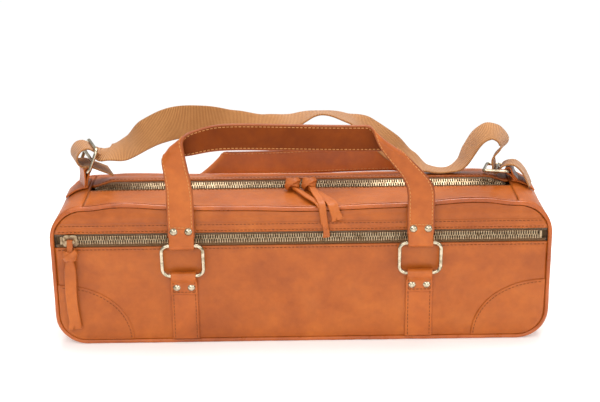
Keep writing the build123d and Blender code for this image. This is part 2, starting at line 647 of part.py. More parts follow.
def build():
    turn = Rot(Z=180)
    holes = along_rivets(bore(SHANK + RIVET_FIT, 20), -PANEL_Y, CHAPE_RIVET_Z)
    zip_half = ZIP_WINDOW / 2
    save(panel_part(POCKET_ZIP_Z + zip_half, HEIGHT), "front_upper_panel")
    save(panel_part(0, POCKET_ZIP_Z - zip_half) - holes, "front_pocket_panel")
    save(corner_patch(-1), "front_left_corner_patch")
    save(corner_patch(1), "front_right_corner_patch")
    save(padded_front(), "front_padding")
    save(rear_panel() - turn * Compound(holes), "rear_panel")
    save(padded_rear(), "rear_padding")
    save(piping(-1), "front_piping")
    save(piping(1), "rear_piping")
    save(gusset(), "base_and_end_gusset")
    save(lining(), "lining")
    save(base_board(), "base_board")
    save(top_front_flap(), "top_front_flap")
    save(top_rear_strip(), "top_rear_strip")

    first, second = 0.4, 0.4 + TOOTH_PITCH / 2
    front_tape, rear_tape = zip_tapes(FLAP_X - 1)
    save(MAIN_TEETH * front_tape, "main_zip_front_tape")
    save(MAIN_TEETH * rear_tape, "main_zip_rear_tape")
    save(main_teeth(-1, first), "main_zip_front_teeth")
    save(main_teeth(1, second), "main_zip_rear_teeth")
    end = TEETH_HALF + GAP + STOP_LENGTH / 2
    stops = [MAIN_TEETH * stop(x, SEAM_GAP, TOOTH_LENGTH) for x in (-end, end)]
    save(Compound(stops), "main_zip_stops")
    for name, side in (("left", -1), ("right", 1)):
        place = Pos(side * SLIDER_START, 0, 0) * MAIN_TEETH
        save(Compound([place * one for one in slider()]), "main_" + name + "_slider")
        save(main_pull(side * SLIDER_START), "main_" + name + "_leather_pull")

    low_tape, high_tape = zip_tapes(POCKET_HALF)
    save(Compound([POCKET_TEETH * low_tape, POCKET_TEETH * high_tape]), "pocket_zip_tape")
    rows = [POCKET_TEETH * teeth_row(POCKET_TEETH_HALF, s, x) for s, x in ((-1, first), (1, second))]
    save(Compound(rows), "pocket_zip_teeth")
    end = POCKET_TEETH_HALF + GAP + STOP_LENGTH / 2
    stops = [POCKET_TEETH * stop(x, -TOOTH_LENGTH, TOOTH_LENGTH) for x in (-end, end)]
    save(Compound(stops), "pocket_zip_stops")
    place = Pos(POCKET_SLIDER_X, 0, 0) * POCKET_TEETH
    save(Compound([place * one for one in slider()]), "pocket_slider")
    save(pocket_pull(), "pocket_leather_pull")

    for name, x in (("left", -STRAP_X), ("right", STRAP_X)):
        save(chape(x), "front_" + name + "_chape")
        save(turn * chape(-x), "rear_" + name + "_chape")
        save(front_ring(x), "front_" + name + "_ring")
        save(rear_ring(x), "rear_" + name + "_ring")
    save(Compound(chape_rivets()), "front_chape_rivets")
    save(turn * Compound(chape_rivets()), "rear_chape_rivets")
    save(FRONT_HANDLE * hand_strap(), "front_handle")
    save(FRONT_HANDLE * Compound(handle_rivets()), "front_handle_rivets")
    save(REAR_HANDLE * hand_strap(), "rear_handle")
    save(REAR_HANDLE * Compound(handle_rivets()), "rear_handle_rivets")

    save(slide_buckle(LEFT_FRAME), "left_slide_buckle")
    save(slide_buckle(RIGHT_FRAME), "right_slide_buckle")
    save(end_tab(-1, LEFT_FRAME, -BUCKLE_LENGTH / 2), "left_end_tab")
    save(end_tab(1, RIGHT_FRAME, BUCKLE_LENGTH / 2), "right_end_tab")
    save(shoulder_strap(), "shoulder_strap_web")


os.makedirs("parts", exist_ok=True)
build()
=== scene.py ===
"""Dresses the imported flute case. Lengths are in millimetres, unless metres are named."""
import logging
from dataclasses import dataclass, field
from enum import Enum, IntEnum
from math import atan2, cos, hypot, pi, radians, sin, sqrt, tanh, tau
from typing import Callable, Iterable, Sequence

import bmesh
import bpy
import numpy as np
from mathutils import Matrix, Vector


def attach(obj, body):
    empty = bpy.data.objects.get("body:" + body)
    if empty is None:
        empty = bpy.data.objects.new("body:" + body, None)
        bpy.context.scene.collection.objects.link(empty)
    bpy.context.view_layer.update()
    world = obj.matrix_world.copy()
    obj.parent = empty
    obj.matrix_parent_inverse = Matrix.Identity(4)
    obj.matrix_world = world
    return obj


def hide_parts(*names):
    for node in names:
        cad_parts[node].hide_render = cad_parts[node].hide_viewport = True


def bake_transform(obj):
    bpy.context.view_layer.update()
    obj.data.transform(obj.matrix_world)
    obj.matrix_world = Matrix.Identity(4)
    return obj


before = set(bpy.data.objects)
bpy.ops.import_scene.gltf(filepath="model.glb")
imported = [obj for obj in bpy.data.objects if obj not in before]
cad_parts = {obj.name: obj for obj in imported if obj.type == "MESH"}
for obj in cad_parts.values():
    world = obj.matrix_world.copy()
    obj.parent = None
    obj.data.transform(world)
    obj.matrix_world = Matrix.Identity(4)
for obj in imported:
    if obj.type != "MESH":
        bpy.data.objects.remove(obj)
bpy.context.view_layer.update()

log = logging.getLogger("flute_case")

Floats = Sequence[float]
Mapper = Callable[[float, float, float], Floats]
ZipPlace = Callable[[float, float], Floats]
Points = Sequence[Floats]
Pair = tuple[float, float]
Triple = tuple[float, float, float]
Array = np.ndarray
Piece = bpy.types.Object
Finish = bpy.types.Material
Socket = bpy.types.NodeSocket

MM = 0.001
FRONTWARD = (0.0, -1.0, 0.0)
BACKWARD = (0.0, 1.0, 0.0)
UPWARD = (0.0, 0.0, 1.0)
SIDES = ((-1, "left"), (1, "right"))
FACES = ((-1, "front"), (1, "rear"))

# Sizes shared with the solids.
LENGTH = 445.0
HEIGHT = 132.0
TOP_RADIUS = 31.0
BASE_RADIUS = 28.0
HALF_LENGTH = LENGTH / 2
FLAT_X = HALF_LENGTH - TOP_RADIUS
TOP_TURN_Z = HEIGHT - TOP_RADIUS
PANEL_Y = 46.2
LEATHER = 1.6
PIPING_RADIUS = 2.1
PIPING_Y = 44.9
GUSSET_Y = 42.75
PANEL_INSET = 4.25
PANEL_TOP = HEIGHT - PANEL_INSET
ZIP_Y = 6.0
ZIP_HALF = 6.5
TAPE_TOP = 130.3
POCKET_Z = 100.5
STRAP_X = 105.0
STRAP_HALF = 12.0
RING_BAR_Z = 68.0
RING_BAR_OUT = 5.1
RING_BAR_RADIUS = 2.0

# How a strap's edge and a sheet's rim are rounded, as shares of half and of all the thickness.
EDGE_ROUND = 0.8
EDGE_START = 0.5
EDGE_POINTS = 4
RIM_ROUND = 0.3
DOUBLES = 1e-6

# Waves of the uneven leather: how many, how much shorter and lower each gets, and what stands for 1.
WAVES = 9
WAVE_SHORTER = 0.42
WAVE_LOWER = 0.5
WAVE_LEVEL = 0.6


class Seed(IntEnum):
    """Fixed seeds, one for each uneven surface."""

    POCKET = 11
    UPPER = 17
    REAR = 23
    ENDS = 31
    TOP = 41
    PIPING = 51
    PIPING_GIRTH = 61
    STITCHES = 71
    LINING = 81
    MAIN_TEETH = 5
    POCKET_TEETH = 7


# --- Curves ---

def smoothstep(x: Array, low: float, high: float) -> Array:
    """Eases from 0 at low to 1 at high."""
    t = np.clip((x - low) / (high - low), 0.0, 1.0)
    return t * t * (3.0 - 2.0 * t)


def climb(value: float, start: float, span: float) -> float:
    """Share of a span that a value has climbed, from 0 to 1."""
    return max(0.0, min(1.0, (value - start) / span))


@dataclass(frozen=True)
class Swell:
    """A smooth rise in a surface: where its middle is, how far it spreads and how high it is."""

    at: float
    spread: float
    height: float

    def __call__(self, x: Array) -> Array:
        """Height at a place."""
        return self.height * np.exp(-((x - self.at) / self.spread) ** 2)


def ripple(u: Array, v: Array, seed: int, scale: float) -> Array:
    """Smooth, repeatable unevenness of leather, from waves that get shorter and lower.

    Args:
        u, v: coordinates.
        seed: fixed seed of the waves.
        scale: length of the longest wave.

    Returns:
        Values of about -1 to 1.
    """
    rng = np.random.default_rng(int(seed))
    total = np.zeros(np.broadcast(u, v).shape)
    weight = 0.0
    for wave in range(WAVES):
        angle = rng.uniform(0, tau)
        phase = rng.uniform(0, tau)
        size = scale / (1.0 + WAVE_SHORTER * wave)
        gain = 1.0 / (1.0 + WAVE_LOWER * wave)
        total += gain * np.sin(tau * (u * cos(angle) + v * sin(angle)) / size + phase)
        weight += gain * WAVE_LEVEL
    return total / weight


# --- Meshes ---

def add_object(name: str, data: bpy.types.ID) -> Piece:
    """Puts data into the scene.

    Args:
        name: the object's name.
        data: its mesh, light or camera.

    Returns:
        The object, at the origin.
    """
    obj = bpy.data.objects.new(name, data)
    bpy.context.scene.collection.objects.link(obj)
    return obj


def discard(obj: Piece) -> None:
    """Removes a piece: its mesh takes the object with it."""
    bpy.data.meshes.remove(obj.data)


def mesh_object(name: str, verts: Iterable, faces: Iterable, smooth: bool = True) -> Piece:
    """Makes an object at the origin from points in millimetres.

    Args:
        name: the object's name.
        verts: points in millimetres.
        faces: tuples of indices.
        smooth: whether its faces are shaded smooth.

    Returns:
        The linked object.
    """
    mesh = bpy.data.meshes.new(name)
    mesh.from_pydata([tuple(float(c) * MM for c in v) for v in verts], [], [tuple(f) for f in faces])
    mesh.polygons.foreach_set("use_smooth", [smooth] * len(mesh.polygons))
    mesh.validate()
    mesh.update()
    return add_object(name, mesh)


def face_outwards(obj: Piece) -> Piece:
    """Merges a closed mesh's doubles and turns its faces outwards.

    Args:
        obj: the piece.

    Returns:
        The same piece.
    """
    bm = bmesh.new()
    bm.from_mesh(obj.data)
    bmesh.ops.remove_doubles(bm, verts=bm.verts, dist=DOUBLES)
    bmesh.ops.recalc_face_normals(bm, faces=bm.faces)
    bm.to_mesh(obj.data)
    bm.free()
    return obj


def dressed(obj: Piece, *finishes: Finish) -> Piece:
    """Gives a piece its materials.

    Args:
        obj: the piece.
        finishes: one for each slot.

    Returns:
        The same piece.
    """
    obj.data.materials.clear()
    for finish in finishes:
        obj.data.materials.append(finish)
    return obj


def seat(obj: Piece, body: str, *nodes: str) -> Piece:
    """Puts a finished piece on its body.

    Args:
        obj: the piece.
        body: the body that it rides on.
        nodes: the solid nodes that it stands for.

    Returns:
        The same piece.
    """
    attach(obj, body)
    if nodes:
        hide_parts(*nodes)
    log.info("%s rides on %s", obj.name, body)
    return obj


def join(name: str, parts: Sequence[Piece]) -> Piece:
    """Joins several meshes into one object.

    Args:
        name: the new object's name.
        parts: the pieces, which are removed.

    Returns:
        The joined object.
    """
    verts, faces, slots, finishes = [], [], [], []
    for part in parts:
        base = len(verts)
        verts += [tuple(v.co) for v in part.data.vertices]
        finishes += [mat for mat in part.data.materials if mat not in finishes]
        own = [finishes.index(mat) for mat in part.data.materials] or [0]
        for poly in part.data.polygons:
            faces.append(tuple(base + i for i in poly.vertices))
            slots.append(own[poly.material_index])
    mesh = bpy.data.meshes.new(name)
    mesh.from_pydata(verts, [], faces)
    for mat in finishes:
        mesh.materials.append(mat)
    mesh.polygons.foreach_set("material_index", slots)
    mesh.polygons.foreach_set("use_smooth", [True] * len(mesh.polygons))
    mesh.update()
    made = add_object(name, mesh)
    for part in parts:
        discard(part)
    return made


def points_of(x: Array, y: Array, z: Array) -> Array:
    """Joins coordinates into points, each spread over the others' rows and columns."""
    return np.stack(np.broadcast_arrays(x, y, z), -1)


def grid_faces(rows: int, cols: int, base: int = 0, wrap: bool = False, flip: bool = False) -> list:
    """Quads over a grid of points.

    Args:
        rows, cols: number of rows, and of points in each.
        base: index of the first point.
        wrap: whether each row closes on itself.
        flip: whether the quads face the other way.

    Returns:
        Tuples of four indices.
    """
    faces = []
    for i in range(rows - 1):
        low, high = base + i * cols, base + (i + 1) * cols
        for j in range(cols if wrap else cols - 1):
            k = (j + 1) % cols
            quad = (low + j, low + k, high + k, high + j)
            faces.append(quad[::-1] if flip else quad)
    return faces


def thick_grid(name: str, outer: Array, ways: Points, thickness: float) -> Piece:
    """A closed sheet of leather, foam or cloth.

    Args:
        name: the object's name.
        outer: rows x columns x 3 points on its outer face.
        ways: direction out of that face, one for all points or one for each.
        thickness: of the sheet.

    Returns:
        The sheet, with rounded rims.
    """
    rows, cols, _ = outer.shape
    normal = np.broadcast_to(np.asarray(ways, float), outer.shape)
    outer_flat, ways_flat = outer.reshape(-1, 3), normal.reshape(-1, 3)
    inner_flat = (outer - normal * thickness).reshape(-1, 3)
    middle_flat = (outer - normal * thickness / 2).reshape(-1, 3)
    rim = [i * cols for i in range(rows)] + [(rows - 1) * cols + j for j in range(1, cols)]
    rim += [i * cols + cols - 1 for i in range(rows - 2, -1, -1)] + list(range(cols - 2, 0, -1))
    shift, ring = rows * cols, 2 * rows * cols
    faces = grid_faces(rows, cols) + grid_faces(rows, cols, shift, flip=True)
    bulge = []
    for k, index in enumerate(rim):
        after = (k + 1) % len(rim)
        side = np.cross(outer_flat[rim[after]] - outer_flat[rim[k - 1]], ways_flat[index])
        side /= max(np.linalg.norm(side), DOUBLES)
        bulge.append(middle_flat[index] + side * (RIM_ROUND * thickness))
        faces.append((index, ring + k, ring + after, rim[after]))
        faces.append((ring + k, shift + index, shift + rim[after], ring + after))
    verts = np.concatenate([outer_flat, inner_flat, np.array(bulge)])
    return face_outwards(mesh_object(name, verts, faces))


def strip_profile(half: float, thickness: float, across: int = 8) -> list:
    """Cross-section of a strap, with flat faces and rounded edges.

    Args:
        half, thickness: half the strap's width, and its thickness.
        across: points over each face.

    Returns:
        (across, out) pairs round the section.
    """
    r = thickness / 2
    bulge = EDGE_ROUND * r
    flat = half - bulge
    turn = np.linspace(EDGE_START, pi - EDGE_START, EDGE_POINTS)
    profile = [(t, r) for t in np.linspace(-flat, flat, across)]
    profile += [(flat + bulge * sin(a), r * cos(a)) for a in turn]
    profile += [(t, -r) for t in np.linspace(flat, -flat, across)]
    return profile + [(-flat - bulge * sin(a), -r * cos(a)) for a in turn]


def strip_solid(name: str, mapper: Mapper, stations: Floats, profile: Points) -> Piece:
    """A closed strap from stations along it and a cross-section.

    Args:
        name: the object's name.
        mapper: gives the place of (along, across, out).
        stations: distances along the strap.
        profile: (across, out) pairs round its section.

    Returns:
        The strap as one closed mesh, with its flat layout as its UV map.
    """
    verts = [mapper(s, t, h) for s in stations for t, h in profile]
    rows, cols = len(stations), len(profile)
    faces = grid_faces(rows, cols, wrap=True)
    faces.append(tuple(range(cols)))
    faces.append(tuple(range((rows - 1) * cols, rows * cols))[::-1])
    made = mesh_object(name, verts, faces)
    layer = made.data.uv_layers.new(name="UVMap")
    index = np.empty(len(made.data.loops), np.int32)
    made.data.loops.foreach_get("vertex_index", index)
    flat = np.array([(t, s) for s in stations for t, _ in profile], np.float32)
    layer.data.foreach_set("uv", flat[index].ravel())
    return face_outwards(made)


def tube(name: str, path: Points, radius: float | Floats, closed: bool = False,
         sides: int = 12) -> Piece:
    """A round cord or wire.

    Args:
        name: the object's name.
        path: points of its middle line.
        radius: one radius, or one for each point.
        closed: whether the line closes on itself.
        sides: points round the cord.

    Returns:
        The cord as one closed mesh.
    """
    pts = np.array(path, float)
    n = len(pts)
    radii = np.broadcast_to(np.asarray(radius, float), n)
    ways = np.roll(pts, -1, 0) - np.roll(pts, 1, 0)
    if not closed:
        ways[0], ways[-1] = pts[1] - pts[0], pts[-1] - pts[-2]
    ways /= np.linalg.norm(ways, axis=1)[:, None]
    up = np.array([0.0, 1.0, 0.0]) if abs(ways[0][1]) < 0.9 else np.array([1.0, 0.0, 0.0])
    turn = np.arange(sides) * tau / sides
    verts = []
    for p, w, r in zip(pts, ways, radii):
        side = np.cross(w, up)
        side /= np.linalg.norm(side)
        up = np.cross(side, w)
        verts += [p + r * (cos(a) * side + sin(a) * up) for a in turn]
    faces = grid_faces(n, sides, wrap=True)
    last = (n - 1) * sides
    if closed:
        faces += [(last + j, last + (j + 1) % sides, (j + 1) % sides, j) for j in range(sides)]
    else:
        faces += [tuple(range(sides)), tuple(range(last, n * sides))[::-1]]
    return face_outwards(mesh_object(name, verts, faces))


# --- Finishes ---

def srgb(code: str) -> tuple[float, float, float, float]:
    """Turns a hex colour, as #RRGGBB, into linear red, green, blue and alpha."""
    parts = (int(code[i:i + 2], 16) / 255 for i in (1, 3, 5))
    return (*(c / 12.92 if c <= 0.04045 else ((c + 0.055) / 1.055) ** 2.4 for c in parts), 1.0)


WHITE = "#FFFFFF"


class Weave(Enum):
    """How a cloth is woven."""

    RIBBED = "ribbed"
    HERRINGBONE = "herringbone"
    PLAIN = "plain"


class Graph:
    """Small helper that adds shader nodes to a material or a world and links them."""

    def __init__(self, owner: bpy.types.ID) -> None:
        """Starts on the owner's nodes.

        Args:
            owner: the material or world.
        """
        self.owner = owner
        owner.use_nodes = True
        self.tree = owner.node_tree
        self.shader = self.tree.nodes.get("Principled BSDF")
        self.places = self.node("TexCoord", {}).outputs
        self.coords = self.places["Object"]

    def feed(self, socket: Socket, value: object) -> None:
        """Fills a socket.

        Args:
            socket: the socket.
            value: another socket that it is linked to, or its value.
        """
        if isinstance(value, Socket):
            self.tree.links.new(value, socket)
        else:
            socket.default_value = value

    def node(self, kind: str, inputs: dict, **settings: object) -> bpy.types.Node:
        """Adds one node.

        Args:
            kind: the node's type, without its ShaderNode prefix.
            inputs: values or sockets by input name or index.
            settings: the node's own properties.

        Returns:
            The node.
        """
        made = self.tree.nodes.new("ShaderNode" + kind)
        for key, value in settings.items():
            setattr(made, key, value)
        for key, value in inputs.items():
            self.feed(made.inputs[key], value)
        return made

    def noise(self, scale: float, detail: float = 4.0, rough: float = 0.55, warp: float = 0.0) -> Socket:
        """Noise on the object's own coordinates, at a scale in cycles a metre."""
        return self.node("TexNoise", {"Vector": self.coords, "Scale": scale, "Detail": detail,
                                      "Roughness": rough, "Distortion": warp}).outputs["Fac"]

    def ramp(self, value: Socket, *stops: tuple[float, object]) -> Socket:
        """Colours a value.

        Args:
            value: what is coloured.
            stops: places and their colours, in hex or as linear values.

        Returns:
            The colour.
        """
        made = self.node("ValToRGB", {"Fac": value})
        elements = made.color_ramp.elements
        while len(elements) < len(stops):
            elements.new(0.5)
        for element, (place, colour) in zip(elements, stops):
            element.position = place
            element.color = srgb(colour) if isinstance(colour, str) else colour
        return made.outputs["Color"]

    def span(self, value: Socket, source: Pair,
             target: Pair = (0.0, 1.0), ease: str = "LINEAR") -> Socket:
        """Maps a value from one range to another.

        Args:
            value: what is mapped.
            source, target: the ranges that it comes from and goes to.
            ease: how it goes from one end to the other.

        Returns:
            The mapped value.
        """
        inputs = {"Value": value, "From Min": source[0], "From Max": source[1], "To Min": target[0],
                  "To Max": target[1]}
        return self.node("MapRange", inputs, interpolation_type=ease).outputs["Result"]

    def stain(self, share: float, under: Socket, over: Socket) -> Socket:
        """Darkens one colour by a share of another."""
        made = self.node("Mix", {0: share, 6: under, 7: over}, data_type="RGBA", blend_type="MULTIPLY")
        return made.outputs[2]

    def math(self, kind: str, a: object, b: object = 0.0) -> Socket:
        """Combines two numbers."""
        return self.node("Math", {0: a, 1: b}, operation=kind).outputs[0]

    def bump(self, height: Socket, distance: float, strength: float, under: Socket | None = None) -> Socket:
        """Roughens the surface.

        Args:
            height: what stands up.
            distance, strength: how high, in metres, and the share of it that is used.
            under: a bump that it lies on.

        Returns:
            The normal.
        """
        inputs = {"Height": height, "Distance": distance, "Strength": strength}
        if under is not None:
            inputs["Normal"] = under
        return self.node("Bump", inputs).outputs["Normal"]

    def put(self, **sockets: object) -> None:
        """Sets or links the shader's inputs, with underscores for spaces."""
        for key, value in sockets.items():
            self.feed(self.shader.inputs[key.replace("_", " ")], value)


@dataclass(frozen=True)
class Leather:
    """Vegetable-tanned leather with pull-up colour, fine grain and a waxed surface.

    Attributes:
        coat, gloss: wax on it, and the specular level under that.
        clouds, mottle, creases, grain: scales in cycles a metre, from coarse to fine.
        depth: of the grain, in metres.
    """

    name: str
    light: str
    middle: str
    dark: str
    rough: float = 0.36
    coat: float = 0.1
    gloss: float = 0.32
    clouds: float = 17.0
    mottle: float = 120.0
    creases: float = 70.0
    grain: float = 1500.0
    depth: float = 0.00012
    flecks: str = "#D9D0C8"

    def material(self) -> Finish:
        """Builds the material."""
        g = Graph(bpy.data.materials.new(self.name))
        clouds = g.noise(self.clouds, detail=5.0, rough=0.6, warp=0.4)
        mottle = g.noise(self.mottle, rough=0.6)
        base = g.ramp(clouds, (0.2, self.dark), (0.5, self.middle), (0.8, self.light))
        colour = g.stain(0.55, base, g.ramp(mottle, (0.3, self.flecks), (0.7, WHITE)))
        pores = g.node("TexVoronoi", {"Vector": g.coords, "Scale": self.grain}, feature="F1")
        fine = g.bump(g.span(pores.outputs["Distance"], (0.0, 0.7)), self.depth, 0.45)
        creases = g.noise(self.creases, detail=6.0, rough=0.62, warp=1.2)
        rough = g.span(mottle, (0.3, 0.75), (self.rough - 0.06, self.rough + 0.12))
        g.put(Base_Color=colour, Roughness=rough, Normal=g.bump(creases, self.depth * 6.0, 0.35, fine),
              Specular_IOR_Level=self.gloss, Coat_Weight=self.coat, Coat_Roughness=0.24)
        return g.owner


@dataclass(frozen=True)
class Cloth:
    """Woven cloth: ribbed webbing, herringbone tape or plain lining.

    Attributes:
        pitch: distance between its ribs; narrow: the share of it that parts them across.
        fold: half the width of the herringbone's stripes, in metres.
        soil: the darkest patch's tint.
    """

    name: str
    light: str
    dark: str
    weave: Weave
    pitch: float
    narrow: float = 0.9
    fold: float = 0.0024
    soil: str = "#E6DDD2"

    def ribs(self, g: Graph) -> Socket:
        """Ribbed webbing, along the piece's own UV map.

        Args:
            g: the material's nodes.

        Returns:
            Height of the yarn.
        """
        split = g.node("SeparateXYZ", {"Vector": g.node("UVMap", {}).outputs["UV"]})
        rib = g.math("SINE", g.math("MULTIPLY", split.outputs["Y"], tau / self.pitch))
        turns = g.math("MULTIPLY", split.outputs["X"], tau / (self.pitch * self.narrow))
        cross = g.math("MULTIPLY", rib, g.math("SINE", turns))
        return g.math("ADD", rib, g.math("MULTIPLY", cross, 0.5))

    def lines(self, g: Graph) -> Socket:
        """Tape and lining, whose lines slant in a herringbone.

        Args:
            g: the material's nodes.

        Returns:
            Height of the yarn.
        """
        split = g.node("SeparateXYZ", {"Vector": g.coords})
        lean = 1.0 if self.weave is Weave.HERRINGBONE else 0.0
        folds = g.math("PINGPONG", split.outputs["X"], self.fold)
        depth = g.math("ADD", split.outputs["Y"], split.outputs["Z"])
        path = g.math("ADD", g.math("MULTIPLY", folds, lean), depth)
        return g.math("SINE", g.math("MULTIPLY", path, tau / (self.pitch * MM)))

    def material(self) -> Finish:
        """Builds the material."""
        g = Graph(bpy.data.materials.new(self.name))
        height = self.ribs(g) if self.weave is Weave.RIBBED else self.lines(g)
        level = g.span(height, (-1.2, 1.2))
        # The colour follows the yarn's height: painted shade in the weave's low places and painted light on
        # its raised yarn.
        base = g.ramp(level, (0.1, self.dark), (0.8, self.light))
        worn = g.ramp(g.noise(60.0, detail=5.0, rough=0.6), (0.3, self.soil), (0.7, WHITE))
        fibre = g.bump(g.noise(3000.0, detail=3.0), 0.0001, 0.4)
        g.put(Base_Color=g.stain(0.6, base, worn), Roughness=0.92, Sheen_Weight=0.25,
              Specular_IOR_Level=0.2, Normal=g.bump(level, 0.00035, 0.8, fibre))
        return g.owner


@dataclass(frozen=True)
class Metal:
    """Plated metal with light handling marks."""

    name: str
    colour: str
    worn: str
    rough: float

    def material(self) -> Finish:
        """Builds the material."""
        g = Graph(bpy.data.materials.new(self.name))
        marks = g.noise(220.0, detail=6.0, rough=0.65, warp=0.6)
        colour = g.ramp(marks, (0.32, self.worn), (0.55, self.colour))
        rough = g.span(marks, (0.3, 0.7), (self.rough + 0.14, self.rough - 0.03))
        scratches = g.noise(900.0, detail=2.0, rough=0.5, warp=2.0)
        g.put(Base_Color=colour, Metallic=1.0, Roughness=rough, Normal=g.bump(scratches, 0.00003, 0.5))
        return g.owner


@dataclass(frozen=True)
class Fibre:
    """Thread, foam or board: matt, with a fine uneven surface."""

    name: str
    light: str
    dark: str
    scale: float = 1600.0
    depth: float = 0.0002

    def material(self) -> Finish:
        """Builds the material."""
        g = Graph(bpy.data.materials.new(self.name))
        fuzz = g.noise(self.scale, rough=0.6)
        g.put(Base_Color=g.ramp(fuzz, (0.3, self.dark), (0.68, self.light)), Roughness=0.85,
              Normal=g.bump(fuzz, self.depth, 0.7), Specular_IOR_Level=0.25)
        return g.owner


class Finishes:
    """Every finish on the case, built once."""

    def __init__(self) -> None:
        """Builds the materials."""
        self.panel = Leather("panel leather", "#BF6822", "#AE5817", "#93440E").material()
        self.gusset = Leather("gusset leather", "#C56A24", "#B15A1A", "#90430F", rough=0.4).material()
        self.strap = Leather("strap leather", "#C66C26", "#B55C1C", "#964711").material()
        # Rear strap leather is the strap leather painted lighter: painted light on the rear strap's run,
        # where the front strap shades it.
        self.rear_strap = Leather("rear strap leather painted lighter", "#D67A30", "#C46923", "#A45216").material()
        # The flesh side's dark tone is partly its own and partly painted shade of the run's downturned inner
        # face.
        self.inside = Leather("strap flesh side painted darker as shade", "#8C4210", "#743206", "#582302", rough=0.6, coat=0.0,
                              gloss=0.12).material()
        self.piping = Leather("piping leather", "#C86A22", "#B2581A", "#8C3E0E", rough=0.3,
                              coat=0.3).material()
        self.thong = Leather("thong leather", "#CB7029", "#B96120", "#964814", rough=0.48).material()
        self.edge = Leather("edge paint", "#B0602A", "#94481A", "#6C3010", rough=0.45).material()
        self.webbing = Cloth("webbing", "#C08852", "#8C5828", Weave.RIBBED, pitch=1.3).material()
        self.tape = Cloth("zip tape", "#8C6842", "#573E26", Weave.HERRINGBONE, pitch=0.9).material()
        self.lining = Cloth("lining cloth", "#8A6E4C", "#5C462D", Weave.PLAIN, pitch=0.8).material()
        self.bright = Metal("bright plate", "#CBBFA6", "#85785E", rough=0.1).material()
        self.zip_metal = Metal("zip metal", "#B8A182", "#765C41", rough=0.36).material()
        # The dark thread is darker than the thread's own pale tan: painted shade of the stitch holes and seam
        # grooves.
        self.thread = Fibre("thread", "#8F4E22", "#5A2E12").material()
        self.pale_thread = Fibre("pale thread", "#D89A5E", "#A56A36").material()
        self.foam = Fibre("foam", "#CFC8BA", "#A39B8B", scale=700.0).material()
        self.board = Fibre("fibreboard", "#9A7750", "#6B4E31", scale=400.0).material()


# --- The case's soft shape ---

# The top's front edge droops in the middle and stands up on both sides of it.
TOP_DROOP = Swell(0.0, 78.0, 2.6)
LIFTS = (Swell(150.0, 38.0, 3.4), Swell(-156.0, 30.0, 2.8))
EDGE_WAVE = Swell(0.0, 120.0, 0.35)
EDGE_TURN = 17.0
EDGE_PHASE = 0.8
TOP_FLAT = (166.0, 191.5)
ZIP_RISE = 5.0
ZIP_LEVEL = (170.0, 190.5)
REAR_SHARE = 0.4


def half_width(z: Array, inset: float) -> Array:
    """Half the width of the front's outline.

    Args:
        z: height.
        inset: how much smaller the outline is drawn.

    Returns:
        Half widths in millimetres.
    """
    z = np.asarray(z, float)
    low = BASE_RADIUS - inset
    high = TOP_RADIUS - inset
    down = np.clip(BASE_RADIUS - z, 0.0, low)
    up = np.clip(z - TOP_TURN_Z, 0.0, high)
    corners = (low - np.sqrt(low ** 2 - down ** 2)) + (high - np.sqrt(high ** 2 - up ** 2))
    return HALF_LENGTH - inset - corners


def top_sag(x: Array) -> Array:
    """How far the front edge of the top droops along the case, below 0 where it stands up."""
    shape = TOP_DROOP(x) - sum(lift(x) for lift in LIFTS) + EDGE_WAVE(x) * np.sin(x / EDGE_TURN + EDGE_PHASE)
    return shape * (1.0 - smoothstep(np.abs(x), *TOP_FLAT))


def zip_rise(x: Array) -> Array:
    """How far the top stands up along the rear edge of the main zip, which tips the zip forward."""
    return ZIP_RISE * (1.0 - smoothstep(np.abs(np.asarray(x, float)), *ZIP_LEVEL))


@dataclass(frozen=True)
class Hollows:
    """How a padded wall sinks between its edges and the straps sewn to it.

    Attributes:
        slack, creases: (height, length, steepness) of its long and its short waves.
        roll, roll_width: how far the leather rolls in at its edges.
        edge: distances from the edge between which the hollow begins.
        strap_reach, strap_fade, held: how far a strap holds the wall, and the share that stays hollow.
    """

    depth: float = 1.15
    slack: Triple = (0.75, 190.0, 1.6)
    creases: Triple = (0.26, 46.0, 2.2)
    roll: float = 0.85
    roll_width: float = 5.0
    edge: Pair = (2.0, 34.0)
    strap_reach: float = 14.0
    strap_fade: float = 26.0
    held: float = 0.12

    def sink(self, x: Array, z: Array, seed: int, low: float, high: float) -> Array:
        """How far a wall sinks in from its flat place.

        Args:
            x, z: distance along the case, and height.
            seed: fixed seed of the waves.
            low, high: the panel's lower and upper edge.

        Returns:
            Depths in millimetres, never below 0.
        """
        across = half_width(z, PANEL_INSET) - np.abs(x)
        gap = np.maximum(np.minimum(across, np.minimum(z - low, high - z)), 0.0)
        free = smoothstep(np.abs(np.abs(x) - STRAP_X) - self.strap_reach, 0.0, self.strap_fade)
        hollow = self.depth
        for (tall, long, steep), own in ((self.slack, seed), (self.creases, seed + 5)):
            hollow = hollow + tall * ripple(x, z * steep, own, long)
        rolled = self.roll * (1.0 - smoothstep(gap, 0.0, self.roll_width))
        share = smoothstep(gap, *self.edge) * (self.held + (1.0 - self.held) * free)
        return np.maximum(share * hollow, 0.0) + rolled


# --- Walls ---

